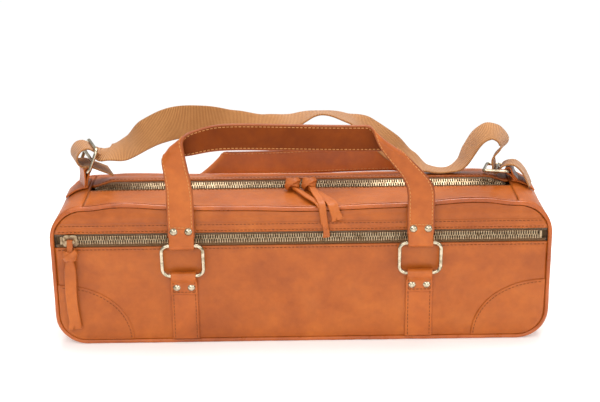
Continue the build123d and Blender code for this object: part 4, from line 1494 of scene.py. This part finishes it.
@dataclass
class HandStrap:
    """One hand strap: flat leather whose two upper corners are rolled over at a slant.

    Distances run up the left leg, round the roll and along to the middle, then the same way back.

    Attributes:
        roll, rise: radius of its corners, and height of its upper edge.
        foot: where its stitched leather starts above the rings.
        hem: distance of its stitching from its edges and from its lower ends.
    """

    name: str
    node: str
    place: Matrix
    outer: Finish
    slump: Slump
    finishes: Finishes
    stitching: Stitching
    half: float = STRAP_HALF
    thickness: float = 3.2
    roll: float = 4.6
    rise: float = 108.5
    foot: float = 8.0
    droop: float = 3.0
    hem: Pair = (2.4, 17.5)

    @property
    def fold_foot(self) -> float:
        """Height of the roll's lower end, above the rings."""
        return self.rise - 2 * self.half - pi * self.roll / sqrt(2)

    @property
    def middle(self) -> float:
        """Distance along the strap to its middle."""
        return self.rise + STRAP_X - self.half

    def rolled(self, s: float, t: float, h: float) -> Triple:
        """Place on the left half of a new strap.

        Args:
            s, t, h: distances up and along the strap, across it and out of it.

        Returns:
            The place.
        """
        px, pz = t + self.half, s - self.fold_foot
        slope = 1 / sqrt(2)
        d, e = (pz - px) * slope, (pz + px) * slope
        arc, wide, angle = pi * self.roll, self.roll + h, d / self.roll
        if d <= 0:
            x, y, z = px, -h, pz
        elif d < arc:
            out = wide * sin(angle)
            x, y, z = (e - out) * slope, self.roll - wide * cos(angle), (e + out) * slope
        else:
            x, y, z = (e + d - arc) * slope, 2 * self.roll + h, (e - d + arc) * slope
        return x - STRAP_X - self.half, y, z + self.fold_foot

    def worn(self, x: float, y: float, z: float) -> Triple:
        """Moves a place on a new strap to where it is on a worn one.

        Args:
            x, y, z: distances from its middle, from its outer face and above the rings.

        Returns:
            The place.
        """
        rise = climb(z, 42.0, 66.0)
        x += 0.45 * self.slump.narrow * rise * max(0.0, -STRAP_X - x)
        x *= 1.0 - self.slump.taper[x >= 0] * rise * rise * (3.0 - 2.0 * rise)
        peak = climb(z, 50.0, 60.0)
        x -= self.slump.drop[1] * peak * peak * (3.0 - 2.0 * peak) * max(0.0, x) / 90.0
        z -= rise * float(Swell(-103.0, 22.0, self.slump.drop[0])(x))
        high = climb(z, 40.0, 50.0)
        z -= high * (self.droop * (0.5 + 0.5 * tanh(x / 60.0)) + 0.5 * sin(x / 37.0 + 0.6))
        y += 0.9 * high * sin(x / 52.0 + 1.1) + 0.5 * sin(z / 19.0) * climb(z, 0.0, 30.0)
        return x, y, z

    def point(self, s: float, t: float, h: float) -> Vector:
        """Place of (along, across, out) on the finished strap."""
        x, y, z = self.rolled(min(s, 2 * self.middle - s), t, h)
        return self.place @ Vector(self.worn(-x if s > self.middle else x, y, z))

    def stations(self) -> Array:
        """Distances along the strap, closer together round the rolls."""
        start, end = self.fold_foot - 2, self.fold_foot + 48
        half = np.concatenate([np.linspace(self.foot, start, 26)[:-1], np.linspace(start, end, 46)[:-1],
                               np.linspace(end, self.middle, 26)])
        return np.concatenate([half, (2 * self.middle - half[:-1])[::-1]])

    def loop(self, side: int) -> Piece:
        """Leather turned round a ring's bar at the foot of a leg.

        Args:
            side: -1 for the left leg, 1 for the right one.

        Returns:
            The loop.
        """
        r = RING_BAR_RADIUS + LEATHER / 2
        leg = [(0.8, 16.0), (0.8, 9.5), (1.6, 5.8)]
        arc = [(r * cos(a), r * sin(a)) for a in np.radians(np.linspace(20.0, -200.0, 22))]
        line = leg + arc + [(-y, z) for y, z in leg[::-1]]
        ribbon = Ribbon([(side * STRAP_X, y, z) for y, z in line], (1, 0, 0), smooth=False)
        made = strip_solid(self.name + "_loop", lambda s, t, h: self.place @ Vector(ribbon(s, t, h)),
                           ribbon.stations(0.8), strip_profile(self.half - 1.0, LEATHER, 8))
        return dressed(made, self.finishes.strap)

    def run(self) -> Piece:
        """The strap itself, with its outer face, its flesh side and its painted edges."""
        across = 22
        profile = strip_profile(self.half, self.thickness, across)
        made = strip_solid(self.name + "_run", self.point, self.stations(), profile)
        # The flesh side's finish is partly its own tone and partly painted shade of the run's inner face.
        dressed(made, self.outer, self.finishes.inside, self.finishes.edge)
        flesh = across + EDGE_POINTS
        lookup = [1 if flesh <= k < flesh + across - 1 else (0 if k < across - 1 else 2)
                  for k in range(len(profile))]
        slots = lookup * (len(self.stations()) - 1) + [2, 2]
        made.data.polygons.foreach_set("material_index", slots)
        return made

    def build(self) -> None:
        """Builds the strap with its loops and stitching."""
        seat(join(self.name + "_leather", [self.run(), self.loop(-1), self.loop(1)]), self.name, self.node)
        edge, start = self.half - self.hem[0], self.hem[1]
        end = 2 * self.middle - start
        faces = (self.thickness / 2, -self.thickness / 2)
        for out in faces:
            self.stitching.strap(self.name, self.point, start, end, edge, out)
        for leg in (start, end):
            for out in faces:
                line, below = (np.array([self.point(leg, t, h) for t in np.linspace(-edge, edge, 12)])
                               for h in (out, 0))
                self.stitching.add(self.name, line, line - below)


@dataclass
class Chape:
    """Strap sewn up the front or back, turned over a ring's bar and riveted."""

    node: str
    x: float
    side: int
    finishes: Finishes
    stitching: Stitching
    foot: float = 4.6
    lower_end: float = 49.0
    narrow: float = 0.08
    narrow_reach: float = 7.0

    def build(self) -> None:
        """Builds the strap and its stitching."""
        face = PANEL_Y + LEATHER / 2 + 0.05
        front = face + LEATHER + 0.05
        bar = PANEL_Y + RING_BAR_OUT
        r = RING_BAR_RADIUS + LEATHER / 2
        line = [(face, self.foot), (face, 20.0), (face, 40.0), (face, 57.5), (face + 0.5, 61.0),
                (bar - r, 66.6)]
        line += [(bar - r * cos(a), RING_BAR_Z + r * sin(a))
                 for a in np.linspace(0.2, pi - 0.1, 14)]
        line += [(bar + r - 0.5, 65.6), (front + 0.8, 60.4), (front + 0.1, 57.0), (front, 54.0),
                 (front, self.lower_end)]
        ribbon = Ribbon([(self.x, self.side * y, z) for y, z in line], (-self.side, 0, 0), step=0.6)

        def mapper(s: float, t: float, h: float) -> Array:
            """Place of (along, across, out), narrower round the bar."""
            narrow = float(Swell(RING_BAR_Z, self.narrow_reach, self.narrow)(ribbon(s, t, h)[2]))
            return ribbon(s, t * (1.0 - narrow), h)

        profile = strip_profile(STRAP_HALF, LEATHER, 10)
        made = strip_solid(self.node + "_strap", mapper, ribbon.stations(1.1), profile)
        seat(dressed(made, self.finishes.strap), "case", self.node)
        edge, out = STRAP_HALF - 2.2, LEATHER / 2
        self.stitching.strap("case", mapper, 1.0, self.lower_end - self.foot - 0.6, edge, out)
        self.stitching.strap("case", mapper, ribbon.length - 13.0, ribbon.length - 1.8, edge, -out)
        across = np.linspace(-edge, edge, 10)
        hem = points_of(self.x + across, self.side * (front + out), self.lower_end + 2.2)
        self.stitching.add("case", hem, (0, self.side, 0))


# --- Pulls ---

@dataclass
class Pull:
    """Leather thong through a slider's bail, tied in a knot, with its tails hanging.

    Attributes:
        through, bail: place of the bail's bridge, and radius of the turn round it.
        rise, fall: directions out of the slider's plate, and of the thong where it leaves the bail.
        knot, knot_size, knot_lean: the knot's place, half its height, and its lean in degrees.
        tails, widths: routes of the tails from the knot, and their widths.
    """

    name: str
    node: str
    body: str
    finish: Finish
    through: Triple
    rise: Triple
    fall: Triple
    knot: Triple
    knot_size: float
    tails: Sequence[Points]
    widths: Floats
    knot_lean: float = 0.0
    thickness: float = 2.1
    bail: float = 1.75
    cut: float = 0.72

    def ways(self) -> tuple[Array, Array, Array]:
        """Directions out of the slider, along the thong and across it."""
        up, way = np.array(self.rise, float), np.array(self.fall, float)
        return up, way, np.cross(up, way)

    def loop(self) -> Piece:
        """Thong round the bridge of the bail, back to the knot."""
        at, knot = np.array(self.through, float), np.array(self.knot, float)
        up, way, across = self.ways()
        turn = np.linspace(pi / 2, -pi / 2, 9)
        arc = [at - way * self.bail * cos(a) + up * self.bail * sin(a) for a in turn]
        ribbon = Ribbon([knot + up * 1.5 - way] + arc + [knot - up * 1.5 - way], across, step=0.5)
        return strip_solid(self.name + "_loop", ribbon, ribbon.stations(0.7), strip_profile(2.5, 0.9, 5))

    def knotted(self) -> Piece:
        """Knot: one turn of the thong round its tails, and one slanting over it."""
        at, size = np.array(self.knot, float), self.knot_size
        up, way, across = self.ways()
        tilt = radians(self.knot_lean)
        up, way = up * cos(tilt) + way * sin(tilt), way * cos(tilt) - up * sin(tilt)
        bands = []
        for lean, height, grow in ((0.16, 1.35 * size, 1.0), (-0.62, 0.95 * size, 1.2)):
            line, wide = [], []
            for a in np.linspace(0.0, tau, 40):
                u, v = 1.02 * size * grow * cos(a), 0.62 * size * grow * sin(a)
                along = u * sin(lean) + 0.35 * sin(2 * a)
                line.append(at + across * u * cos(lean) + up * v + way * along)
                wide.append(way * cos(lean) - across * sin(lean) + up * 0.18 * sin(a))
            ribbon = Ribbon(line, wide, step=0.5)
            bands.append(strip_solid("band", ribbon, ribbon.stations(0.9), strip_profile(height / 2, 1.7, 6)))
        core = [at + way * w for w in np.linspace(-0.8 * size, 0.8 * size, 8)]
        round_end = [0.2, 0.42 * size, 0.5 * size, 0.5 * size]
        bands.append(tube("core", core, round_end + round_end[::-1]))
        return join(self.name + "_knot", bands)

    def tail(self, index: int, route: Points, width: float) -> Piece:
        """One tail, widening below the knot and cut to a slanting end.

        Args:
            index: 0 for the first tail, 1 for the second, which is cut the other way.
            route, width: points of its middle line, and its width.

        Returns:
            The tail.
        """
        ribbon = Ribbon(route, self.ways()[2], step=0.6)
        slope = self.cut * (1 if index else -1)

        def mapper(s: float, t: float, h: float) -> Array:
            """Place on the tail.

            Args:
                s, t, h: distances along it, across it and out of it.

            Returns:
                The place.
            """
            grow = 0.5 + 0.5 * min(1.0, s / 11.0)
            end = max(0.0, 1.0 - (ribbon.length - s) / (width * 0.8))
            slant = end * (0.5 * width - t) * slope * (1.0 if t * slope < 0 else 0.3)
            roll = 0.05 * t * t * cos(s / 12.0 + 2.0 * index) + 0.09 * t * sin(s / 9.0 + index)
            return ribbon(s, (t + slant) * grow, h + roll)

        profile = strip_profile(width / 2, self.thickness, 8)
        return strip_solid(self.name + "_tail", mapper, ribbon.stations(1.0), profile)

    def build(self) -> None:
        """Builds the pull as one piece."""
        parts = [self.loop(), self.knotted()]
        parts += [self.tail(i, *pair) for i, pair in enumerate(zip(self.tails, self.widths))]
        for part in parts:
            dressed(part, self.finish)
        seat(join(self.name, parts), self.body, self.node)


# --- Shoulder strap ---

class Buckle:
    """Frame of a slide buckle: along its bars, from bar to bar, and out of it."""

    def __init__(self, centre: Floats, bar: Floats, up: Floats) -> None:
        """Squares the frame.

        Args:
            centre: the buckle's middle.
            bar, up: directions along its bars, and roughly from bar to bar.
        """
        self.centre = np.array(centre, float)
        self.bar = np.array(bar, float) / np.linalg.norm(bar)
        flat = np.array(up, float) - self.bar * np.dot(up, self.bar)
        self.up = flat / np.linalg.norm(flat)
        self.out = np.cross(self.bar, self.up)
        self.back = self.bar if self.bar[1] > 0 else -self.bar

    def at(self, out: float, along: float) -> Array:
        """A place in the plane across the bars."""
        return self.centre + self.up * along + self.out * out


@dataclass
class ShoulderStrap:
    """Webbing with its two slide buckles and their leather anchors.

    Attributes:
        left, right: the buckles' middles, with the directions along and between their bars.
        left_turns, right_turns: (out, along) places of the webbing round each buckle's bars.
        route: places of the webbing between the buckles, each with the direction across it.
        cup, held: how far the webbing cups, and how long it lies flat at both ends.
        patch_turn: where an anchor's patch begins and ends, in degrees from upright.
    """

    finishes: Finishes
    width: float = 30.0
    thickness: float = 1.6
    left: Points = ((-193.5, 19, 158.5), (0.33, -0.94, 0), (0.36, 0.12, 0.92))
    right: Points = ((182, 23, 140.5), (0.22, 0.96, -0.14), (0.97, -0.22, 0))
    left_turns: Points = ((-24, -8), (-12, -6.9), (-1, -6.3), (6, -8.4), (11.5, -6), (13.5, 0), (11.5, 6.2),
                          (6, 9.4), (-1, 8.3), (-9, 6.6))
    right_turns: Points = ((-10, -3.6), (-3, -3.0), (1.5, -2.5), (2.9, 0), (1.5, 2.5), (-3.2, 5.0),
                           (-5.6, 10.5), (-5.4, 16.5), (0.6, 23.5), (7.6, 27.8), (14.0, 30.8))
    route: Points = (
        (-175.5, 20, 161.5, -0.33, 0.93, 0.12), (-157.5, 18.5, 166, -0.3, 0.86, 0.38),
        (-138, 17, 180, -0.27, 0.62, 0.73), (-113, 18, 189, -0.08, 0.38, 0.92),
        (-88, 20, 189, 0.12, 0.3, 0.95), (-60, 23, 184.5, 0.12, 0.6, 0.79), (-30, 25, 183, 0, 0.86, 0.51),
        (-4, 25.5, 188.5, -0.08, 0.97, 0.12), (20, 25, 195, 0, 0.98, -0.16),
        (44, 26, 189, 0.12, 0.98, -0.05), (64, 28.5, 177, 0.3, 0.86, 0.4), (84, 31, 160, 0.38, 0.76, 0.52),
        (103, 31, 146, 0.28, 0.92, 0.22), (120, 29.5, 138.2, 0.1, 0.98, -0.12),
        (136, 29, 137, 0, 0.985, -0.17), (148, 29, 142.5, -0.15, 0.97, -0.1),
        (156, 29, 156, -0.22, 0.96, 0), (164, 28.5, 168.5, -0.18, 0.97, 0.12),
        (173.5, 28, 174.5, -0.05, 0.96, 0.25), (183, 27, 172, 0.2, 0.94, 0.22),
        (188, 26, 163, 0.42, 0.9, 0.05),
    )
    cup: float = 0.5
    held: float = 70.0
    bar_reach: float = 11.0
    anchor_half: float = 13.0
    patch_out: float = 0.9
    patch_turn: Pair = (4.0, 46.0)
    foot_x: float = 8.5

    def web(self, left: Buckle, right: Buckle) -> tuple[Piece, float]:
        """The webbing, from its tail at the left buckle to its tail at the right one.

        Args:
            left, right: the buckles.

        Returns:
            The webbing and its length.
        """
        points = [left.at(*turn) for turn in self.left_turns] + [np.array(p[:3]) for p in self.route]
        points += [right.at(*turn) for turn in self.right_turns]
        ways = [left.back] * len(self.left_turns) + [p[3:] for p in self.route]
        ribbon = Ribbon(points, ways + [right.back] * len(self.right_turns))

        def mapper(s: float, t: float, h: float) -> Array:
            """Place of (along, across, out), cupped where it is free."""
            cup = self.cup * sin(s / 33.0) * ((2 * t / self.width) ** 2 - 0.3)
            return ribbon(s, t, h + cup * climb(min(s, ribbon.length - s), self.held, 30.0))

        profile = strip_profile(self.width / 2, self.thickness, 12)
        made = strip_solid("shoulder_webbing", mapper, ribbon.stations(1.6), profile)
        return dressed(made, self.finishes.webbing), ribbon.length

    def patch(self, name: str, side: int, y: float) -> Piece:
        """Leather patch round a top corner.

        Args:
            name: the anchor's name.
            side: -1 on the left, 1 on the right.
            y: place of its middle across the case.

        Returns:
            The patch.
        """
        reach = TOP_RADIUS + self.patch_out
        curve = [(side * (FLAT_X + reach * sin(a)), y, TOP_TURN_Z + reach * cos(a))
                 for a in np.radians(np.linspace(*self.patch_turn, 16))]
        line = Ribbon(curve, BACKWARD, smooth=False)
        return strip_solid(name + "_patch", line, line.stations(2.0), strip_profile(self.anchor_half, 1.8))

    def doubled(self, name: str, side: int, bar: Array, back: Array) -> Piece:
        """Doubled strap from a patch up round a buckle's bar.

        Args:
            name: the anchor's name.
            side: -1 on the left, 1 on the right.
            bar, back: the bar's middle, and the direction along it.

        Returns:
            The strap.
        """
        level = np.array([back[0], back[1], 0.0]) / hypot(back[0], back[1])
        square, rise = np.array([level[1], -level[0], 0.0]), bar[2] - HEIGHT
        lean = atan2((side * (FLAT_X + self.foot_x) - bar[0]) * square[0], rise)
        down = square * sin(lean) - np.array(UPWARD) * cos(lean)
        apart = square * cos(lean) + np.array(UPWARD) * sin(lean)
        long, r = rise / cos(lean), 1.8 + LEATHER / 2
        leg = ((long, 0.85), (0.55 * long, 0.9))
        line = [down * reach + apart * gap for reach, gap in leg]
        turn = np.linspace(1.1, tau - 1.1, 18)
        line += [down * r * cos(a) + apart * r * sin(a) for a in turn]
        line += [down * reach - apart * gap for reach, gap in leg[::-1]]
        ribbon = Ribbon([bar + place for place in line], back, step=0.5)
        profile = strip_profile(self.anchor_half - 0.6, LEATHER)
        return strip_solid(name + "_turn", ribbon, ribbon.stations(0.8), profile)

    def build(self) -> None:
        """Builds the webbing and its anchors."""
        buckles = Buckle(*self.left), Buckle(*self.right)
        web, length = self.web(*buckles)
        seat(web, "case", "shoulder_strap_web")
        for (side, end), buckle in zip(SIDES, buckles):
            name = end + "_anchor"
            bar = buckle.at(0.0, side * self.bar_reach)
            parts = [self.patch(name, side, bar[1]), self.doubled(name, side, bar, buckle.back)]
            for part in parts:
                dressed(part, self.finishes.strap)
            seat(join(name, parts), "case", end + "_end_tab")


# --- Inside ---

@dataclass
class Lining:
    """Cloth tray inside the case, with slack folds."""


    finishes: Finishes
    walls: Walls
    inset: float = 1.9
    depth: float = 40.3
    top: float = 123.3
    cloth: float = 0.7
    slack: float = 0.35

    def build(self) -> None:
        """Builds both sides and the floor as one piece."""
        rows = heights(self.inset, self.top, 4.0, self.inset)
        parts = []
        x, z = panel_grid(rows, 90, self.inset)
        for side, way in ((-1, FRONTWARD), (1, BACKWARD)):
            fold = self.slack * (1 + ripple(x, z, Seed.LINING + side, 60.0))
            outer = points_of(x, side * (self.depth - fold), z)
            parts.append(thick_grid("lining_side", outer, way, self.cloth))
        line, ways = end_line(0.0)
        keep = line[:, 1] <= self.top
        (x, z), (way_x, way_z) = line[keep].T[..., None], ways[keep].T[..., None]
        y = np.linspace(0.4 - self.depth, self.depth - 0.4, 24)[None, :]
        normal = points_of(way_x, 0.0 * y, way_z)
        sink = self.walls.gusset_sink(y, z) + self.inset
        floor = points_of(x, y, z) - normal * sink[..., None]
        parts.append(thick_grid("lining_floor", floor, normal, self.cloth))
        for part in parts:
            dressed(part, self.finishes.lining)
        seat(join("cloth_lining", parts), "case", "lining")


# --- Hardware, pulls and sewing ---

PLATED = [f"{face}_{end}_ring" for _, face in FACES for _, end in SIDES]
PLATED += [f"{face}_{part}_rivets" for _, face in FACES for part in ("chape", "handle")]
PLATED += [f"{end}_slide_buckle" for _, end in SIDES]
ZIP_PARTS = ("main_left_slider", "main_right_slider", "pocket_slider", "main_zip_stops", "pocket_zip_stops")


def finish_nodes(finishes: Finishes) -> None:
    """Dresses the solids that stay.

    Args:
        finishes: every finish.
    """
    groups = ((PLATED, finishes.bright), (ZIP_PARTS, finishes.zip_metal), (("base_board",), finishes.board))
    for names, finish in groups:
        for name in names:
            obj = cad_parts[name]
            if not obj.material_slots:
                obj.data.materials.append(finish)
            for slot in obj.material_slots:
                slot.material = finish
            log.info("%s keeps its solid, in %s", name, finish.name)


@dataclass
class Pulls:
    """The three knotted pulls, with (end, drop, width) of each main pull's tails."""

    finishes: Finishes
    walls: Walls
    main_x: float = 7.5
    main_tails: Sequence[Points] = (((23.0, 23.0, 5.6),), ((33.0, 7.0, 9.0), (21.0, 15.0, 6.6)))
    pocket_x: float = -203.95
    pocket_tails: Sequence[Points] = (
        ((-0.5, -52.2, 86.0), (-1.2, -51.6, 72.0), (-1.6, -51.2, 45.0), (0.2, -51.0, 17.0)),
        ((-2.0, -50.2, 86.0), (-3.2, -49.9, 70.0), (-3.8, -49.8, 48.0), (-3.4, -49.8, 26.0)))

    def over_edge(self, x: float, reach: float, drop: float, layer: int) -> Points:
        """Route of a main pull's tail, over the front edge of the top.

        Args:
            x: where it leaves the knot.
            reach, drop: where it ends along the case, and how far down.
            layer: 0 on the leather, 1 on another tail.

        Returns:
            The route.
        """
        way = reach - x
        route = [(x, -11.0, 135.4)]
        for share, y in ((0.2, -18.0), (0.42, -28.0), (0.66, -38.0)):
            lie = float(self.walls.top_height(x + way * share, y))
            route.append((x + way * share, y, lie + 2.0 + 2.0 * layer + 1.6 * (1 - share)))
        edge = HEIGHT - float(top_sag(reach))
        out = 1.2 * layer
        route.append((x + way * 0.80, -46.4, edge + 0.9 + 1.4 * layer))
        route.append((x + way * 0.88, -50.6 - out, edge - 4.0))
        route.append((x + way * 0.95, -50.6 - out, edge - 4.0 - drop * 0.5))
        route.append((reach, -50.0 - out, edge - 4.0 - drop))
        return route

    def build(self) -> None:
        """Builds the pulls."""
        thong = self.finishes.thong
        for (side, end), tails in zip(SIDES, self.main_tails):
            x = side * self.main_x
            Pull(f"main_{end}_thong", f"main_{end}_leather_pull", f"{end}_main_pull", thong,
                 through=(x, ZIP_Y, 134.95), rise=UPWARD, fall=FRONTWARD, knot=(x + 0.5, -7.2, 138.2),
                 knot_size=5.6, tails=[self.over_edge(x + 1.0, *tail[:2], k) for k, tail in enumerate(tails)],
                 widths=[tail[2] for tail in tails], knot_lean=52.0).build()
        x = self.pocket_x
        routes = [[(x + way, y, z) for way, y, z in route] for route in self.pocket_tails]
        Pull("pocket_thong", "pocket_leather_pull", "pocket_zip_pull", thong, through=(x, -48.95, POCKET_Z),
             rise=FRONTWARD, fall=(0.0, 0.0, -1.0), knot=(x, -51.9, 89.0), knot_size=5.4, tails=routes,
             widths=(10.4, 7.0)).build()


def sew_walls(walls: Walls, stitching: Stitching) -> None:
    """Sews the seams of the walls.

    Args:
        walls: the walls.
        stitching: keeps the rows.
    """
    for z in walls.strip_seams + walls.pocket_seams:
        half = float(half_width(z, PANEL_INSET)) - 2.5
        x = np.linspace(-half, half, 240)
        stitching.add("case", points_of(x, -walls.front_out(x, z), z), FRONTWARD)
    for side, body in ((-1, "flap"), (1, "case")):
        x = np.linspace(2.0 - FLAT_X, FLAT_X - 2.0, 220)
        y = ZIP_Y + side * (ZIP_HALF + 2.4)
        stitching.add(body, points_of(x, y, walls.top_height(x, y) - 0.25), UPWARD)
    for side, _ in SIDES:
        turn = np.linspace(0.03, pi / 2 - 0.06, 60)
        z = PANEL_INSET + (walls.patch_tall - 2.4) * np.sin(turn)
        x = HALF_LENGTH - PANEL_INSET - (walls.patch_long - 2.4) * np.cos(turn)
        keep = x < half_width(z, PANEL_INSET + 2.0)
        x, z = side * x[keep], z[keep]
        stitching.add("case", points_of(x, -(walls.front_out(x, z) + 0.9), z), FRONTWARD)


# --- Studio ---

@dataclass(frozen=True)
class Softbox:
    """A square soft box: its place and size in metres, and its power in watts."""

    name: str
    place: Triple
    size: float
    power: float

    def build(self, target: Vector) -> None:
        """Sets up the lamp.

        Args:
            target: the place that it is aimed at, in metres.
        """
        data = bpy.data.lights.new(self.name, "AREA")
        data.shape = "SQUARE"
        data.size = self.size
        data.energy = self.power
        obj = add_object(self.name, data)
        obj.location = self.place
        obj.rotation_mode = "QUATERNION"
        obj.rotation_quaternion = (Vector(self.place) - target).to_track_quat("Z", "Y")


@dataclass
class Studio:
    """Pale floor, soft lights and the camera.

    Attributes:
        distance, scale: of the camera from the front's plane, and millimetres there for a column.
        centre_up, centre_x, reference: the camera's aim up, along and into the view.
        sky: (height, level) stops of the light that the world gives.
    """

    pitch: float = 19.5
    roll: float = 0.8
    distance: float = 1150.0
    scale: float = 0.892
    columns: float = 600.0
    sensor: float = 36.0
    centre_up: float = 111.86
    centre_x: float = -0.45
    reference: float = -66.33
    floor_half: float = 6000.0
    target: Triple = (0.0, 0.0, 0.08)
    lamps: tuple[Softbox, ...] = (
        Softbox("key softbox", (-0.9, -1.5, 1.5), 1.4, 15.0),
        Softbox("front softbox", (0.2, -2.3, 0.6), 1.5, 12.0),
        Softbox("fill softbox", (1.5, -1.2, 0.9), 1.1, 9.0),
        Softbox("top softbox", (0.1, 0.6, 1.7), 1.3, 32.0))
    sky: Points = ((0.0, 0.55), (0.46, 0.42), (0.52, 0.26), (0.60, 0.62), (0.78, 0.95), (1.0, 1.0))
    sky_strength: float = 0.8
    backdrop_strength: float = 1.05

    def floor(self) -> None:
        """A pale floor round the case that fades into the white background."""
        half = self.floor_half
        corners = [(x * half, y * half, 0.0) for x, y in ((-1, -1), (1, -1), (1, 1), (-1, 1))]
        obj = mesh_object("studio_floor", corners, [(0, 1, 2, 3)], smooth=False)
        g = Graph(bpy.data.materials.new("studio floor"))
        g.put(Base_Color=g.ramp(g.noise(3.0, detail=2.0), (0.3, "#F6F5F3"), (0.7, "#FAF9F7")), Roughness=0.9,
              Specular_IOR_Level=0.1, Emission_Color=srgb(WHITE), Emission_Strength=0.16)
        shrunk = g.node("VectorMath", {0: g.coords, 1: (1.0, 1.5, 1.0)}, operation="MULTIPLY")
        away = g.node("VectorMath", {0: shrunk.outputs[0]}, operation="LENGTH").outputs["Value"]
        fade = g.span(away, (0.32, 0.95), ease="SMOOTHSTEP")
        white = g.node("Emission", {"Color": srgb(WHITE), "Strength": 1.02}).outputs[0]
        mixed = g.node("MixShader", {0: fade, 1: g.shader.outputs[0], 2: white}).outputs[0]
        g.feed(g.tree.nodes["Material Output"].inputs["Surface"], mixed)
        dressed(obj, g.owner)

    def world(self) -> None:
        """White to the camera; to everything else a soft sky that darkens towards the horizon."""
        g = Graph(bpy.data.worlds.new("studio world"))
        g.tree.nodes.remove(g.tree.nodes["Background"])
        bpy.context.scene.world = g.owner
        rise = g.node("SeparateXYZ", {0: g.places["Generated"]}).outputs["Z"]
        tints = ((place, (level, level * 0.99, level * 0.975, 1.0)) for place, level in self.sky)
        soft = {"Color": g.ramp(g.span(rise, (-1.0, 1.0)), *tints), "Strength": self.sky_strength}
        white = {"Color": srgb(WHITE), "Strength": self.backdrop_strength}
        shown = {0: g.node("LightPath", {}).outputs["Is Camera Ray"],
                 1: g.node("Background", soft).outputs[0], 2: g.node("Background", white).outputs[0]}
        g.feed(g.tree.nodes["World Output"].inputs["Surface"], g.node("MixShader", shown).outputs[0])

    def camera(self) -> None:
        """Camera at the viewing angle, rolled a little."""
        tilt, roll = radians(self.pitch), radians(self.roll)
        forward = Vector((0, cos(tilt), -sin(tilt)))
        up = Vector((0, sin(tilt), cos(tilt)))
        right = Vector((1, 0, 0))
        place = up * self.centre_up + forward * (self.reference - self.distance) + right * self.centre_x
        top = up * cos(roll) + right * sin(roll)
        side = right * cos(roll) - up * sin(roll)
        data = bpy.data.cameras.new("camera")
        data.sensor_width = self.sensor
        data.lens = self.distance / self.scale / self.columns * self.sensor
        data.clip_start, data.clip_end = 0.05, 50.0
        obj = add_object("camera", data)
        turn = Matrix((side, top, -forward)).transposed()
        obj.matrix_world = Matrix.Translation(place * MM) @ turn.to_4x4()
        bpy.context.scene.camera = obj

    def build(self) -> None:
        """Builds the whole studio."""
        self.floor()
        self.world()
        for lamp in self.lamps:
            lamp.build(Vector(self.target))
        self.camera()
        bpy.context.scene.view_settings.view_transform = "Standard"
        log.info("studio is ready")


# --- The case ---

def strap_place(lean: float, turned: bool) -> Matrix:
    """Where a hand strap stands on its rings.

    Args:
        lean: how far the rings lean out from upright, in degrees.
        turned: whether it is the rear strap, turned round and leaning back.

    Returns:
        The place.
    """
    bar_gap = 29.5
    reach = PANEL_Y + RING_BAR_OUT + bar_gap * sin(radians(lean))
    rise = RING_BAR_Z + bar_gap * cos(radians(lean))
    move = Matrix.Translation(Vector((0, reach if turned else -reach, rise)))
    if not turned:
        return move
    return move @ Matrix.Rotation(radians(-12.0), 4, "X") @ Matrix.Rotation(pi, 4, "Z")


def build_straps(finishes: Finishes, stitching: Stitching) -> None:
    """Builds both hand straps with their chapes.

    Args:
        finishes: every finish.
        stitching: keeps the rows.
    """
    straps = (("front", -1, strap_place(5.0, False), finishes.strap, HandShape.FRONT),
              # The rear strap wears the lighter leather: painted light on its run, which the front strap
              # shades.
              ("rear", 1, strap_place(165.0, True), finishes.rear_strap, HandShape.REAR))
    for face, side, place, outer, shape in straps:
        HandStrap(f"{face}_hand_strap", f"{face}_handle", place, outer, shape.value, finishes,
                  stitching).build()
        for end_side, end in SIDES:
            Chape(f"{face}_{end}_chape", end_side * STRAP_X, side, finishes, stitching).build()


def main() -> None:
    """Builds every piece in order."""
    logging.basicConfig(level=logging.INFO, format="%(name)s: %(message)s")
    finishes = Finishes()
    repeater = Repeater()
    stitching = Stitching(repeater, finishes.thread, finishes.pale_thread)
    walls = Walls(finishes)
    walls.build()
    Zips(finishes, repeater).build()
    build_straps(finishes, stitching)
    Pulls(finishes, walls).build()
    ShoulderStrap(finishes).build()
    Lining(finishes, walls).build()
    sew_walls(walls, stitching)
    stitching.build()
    finish_nodes(finishes)
    Studio().build()


if __name__ == "__main__":
    main()
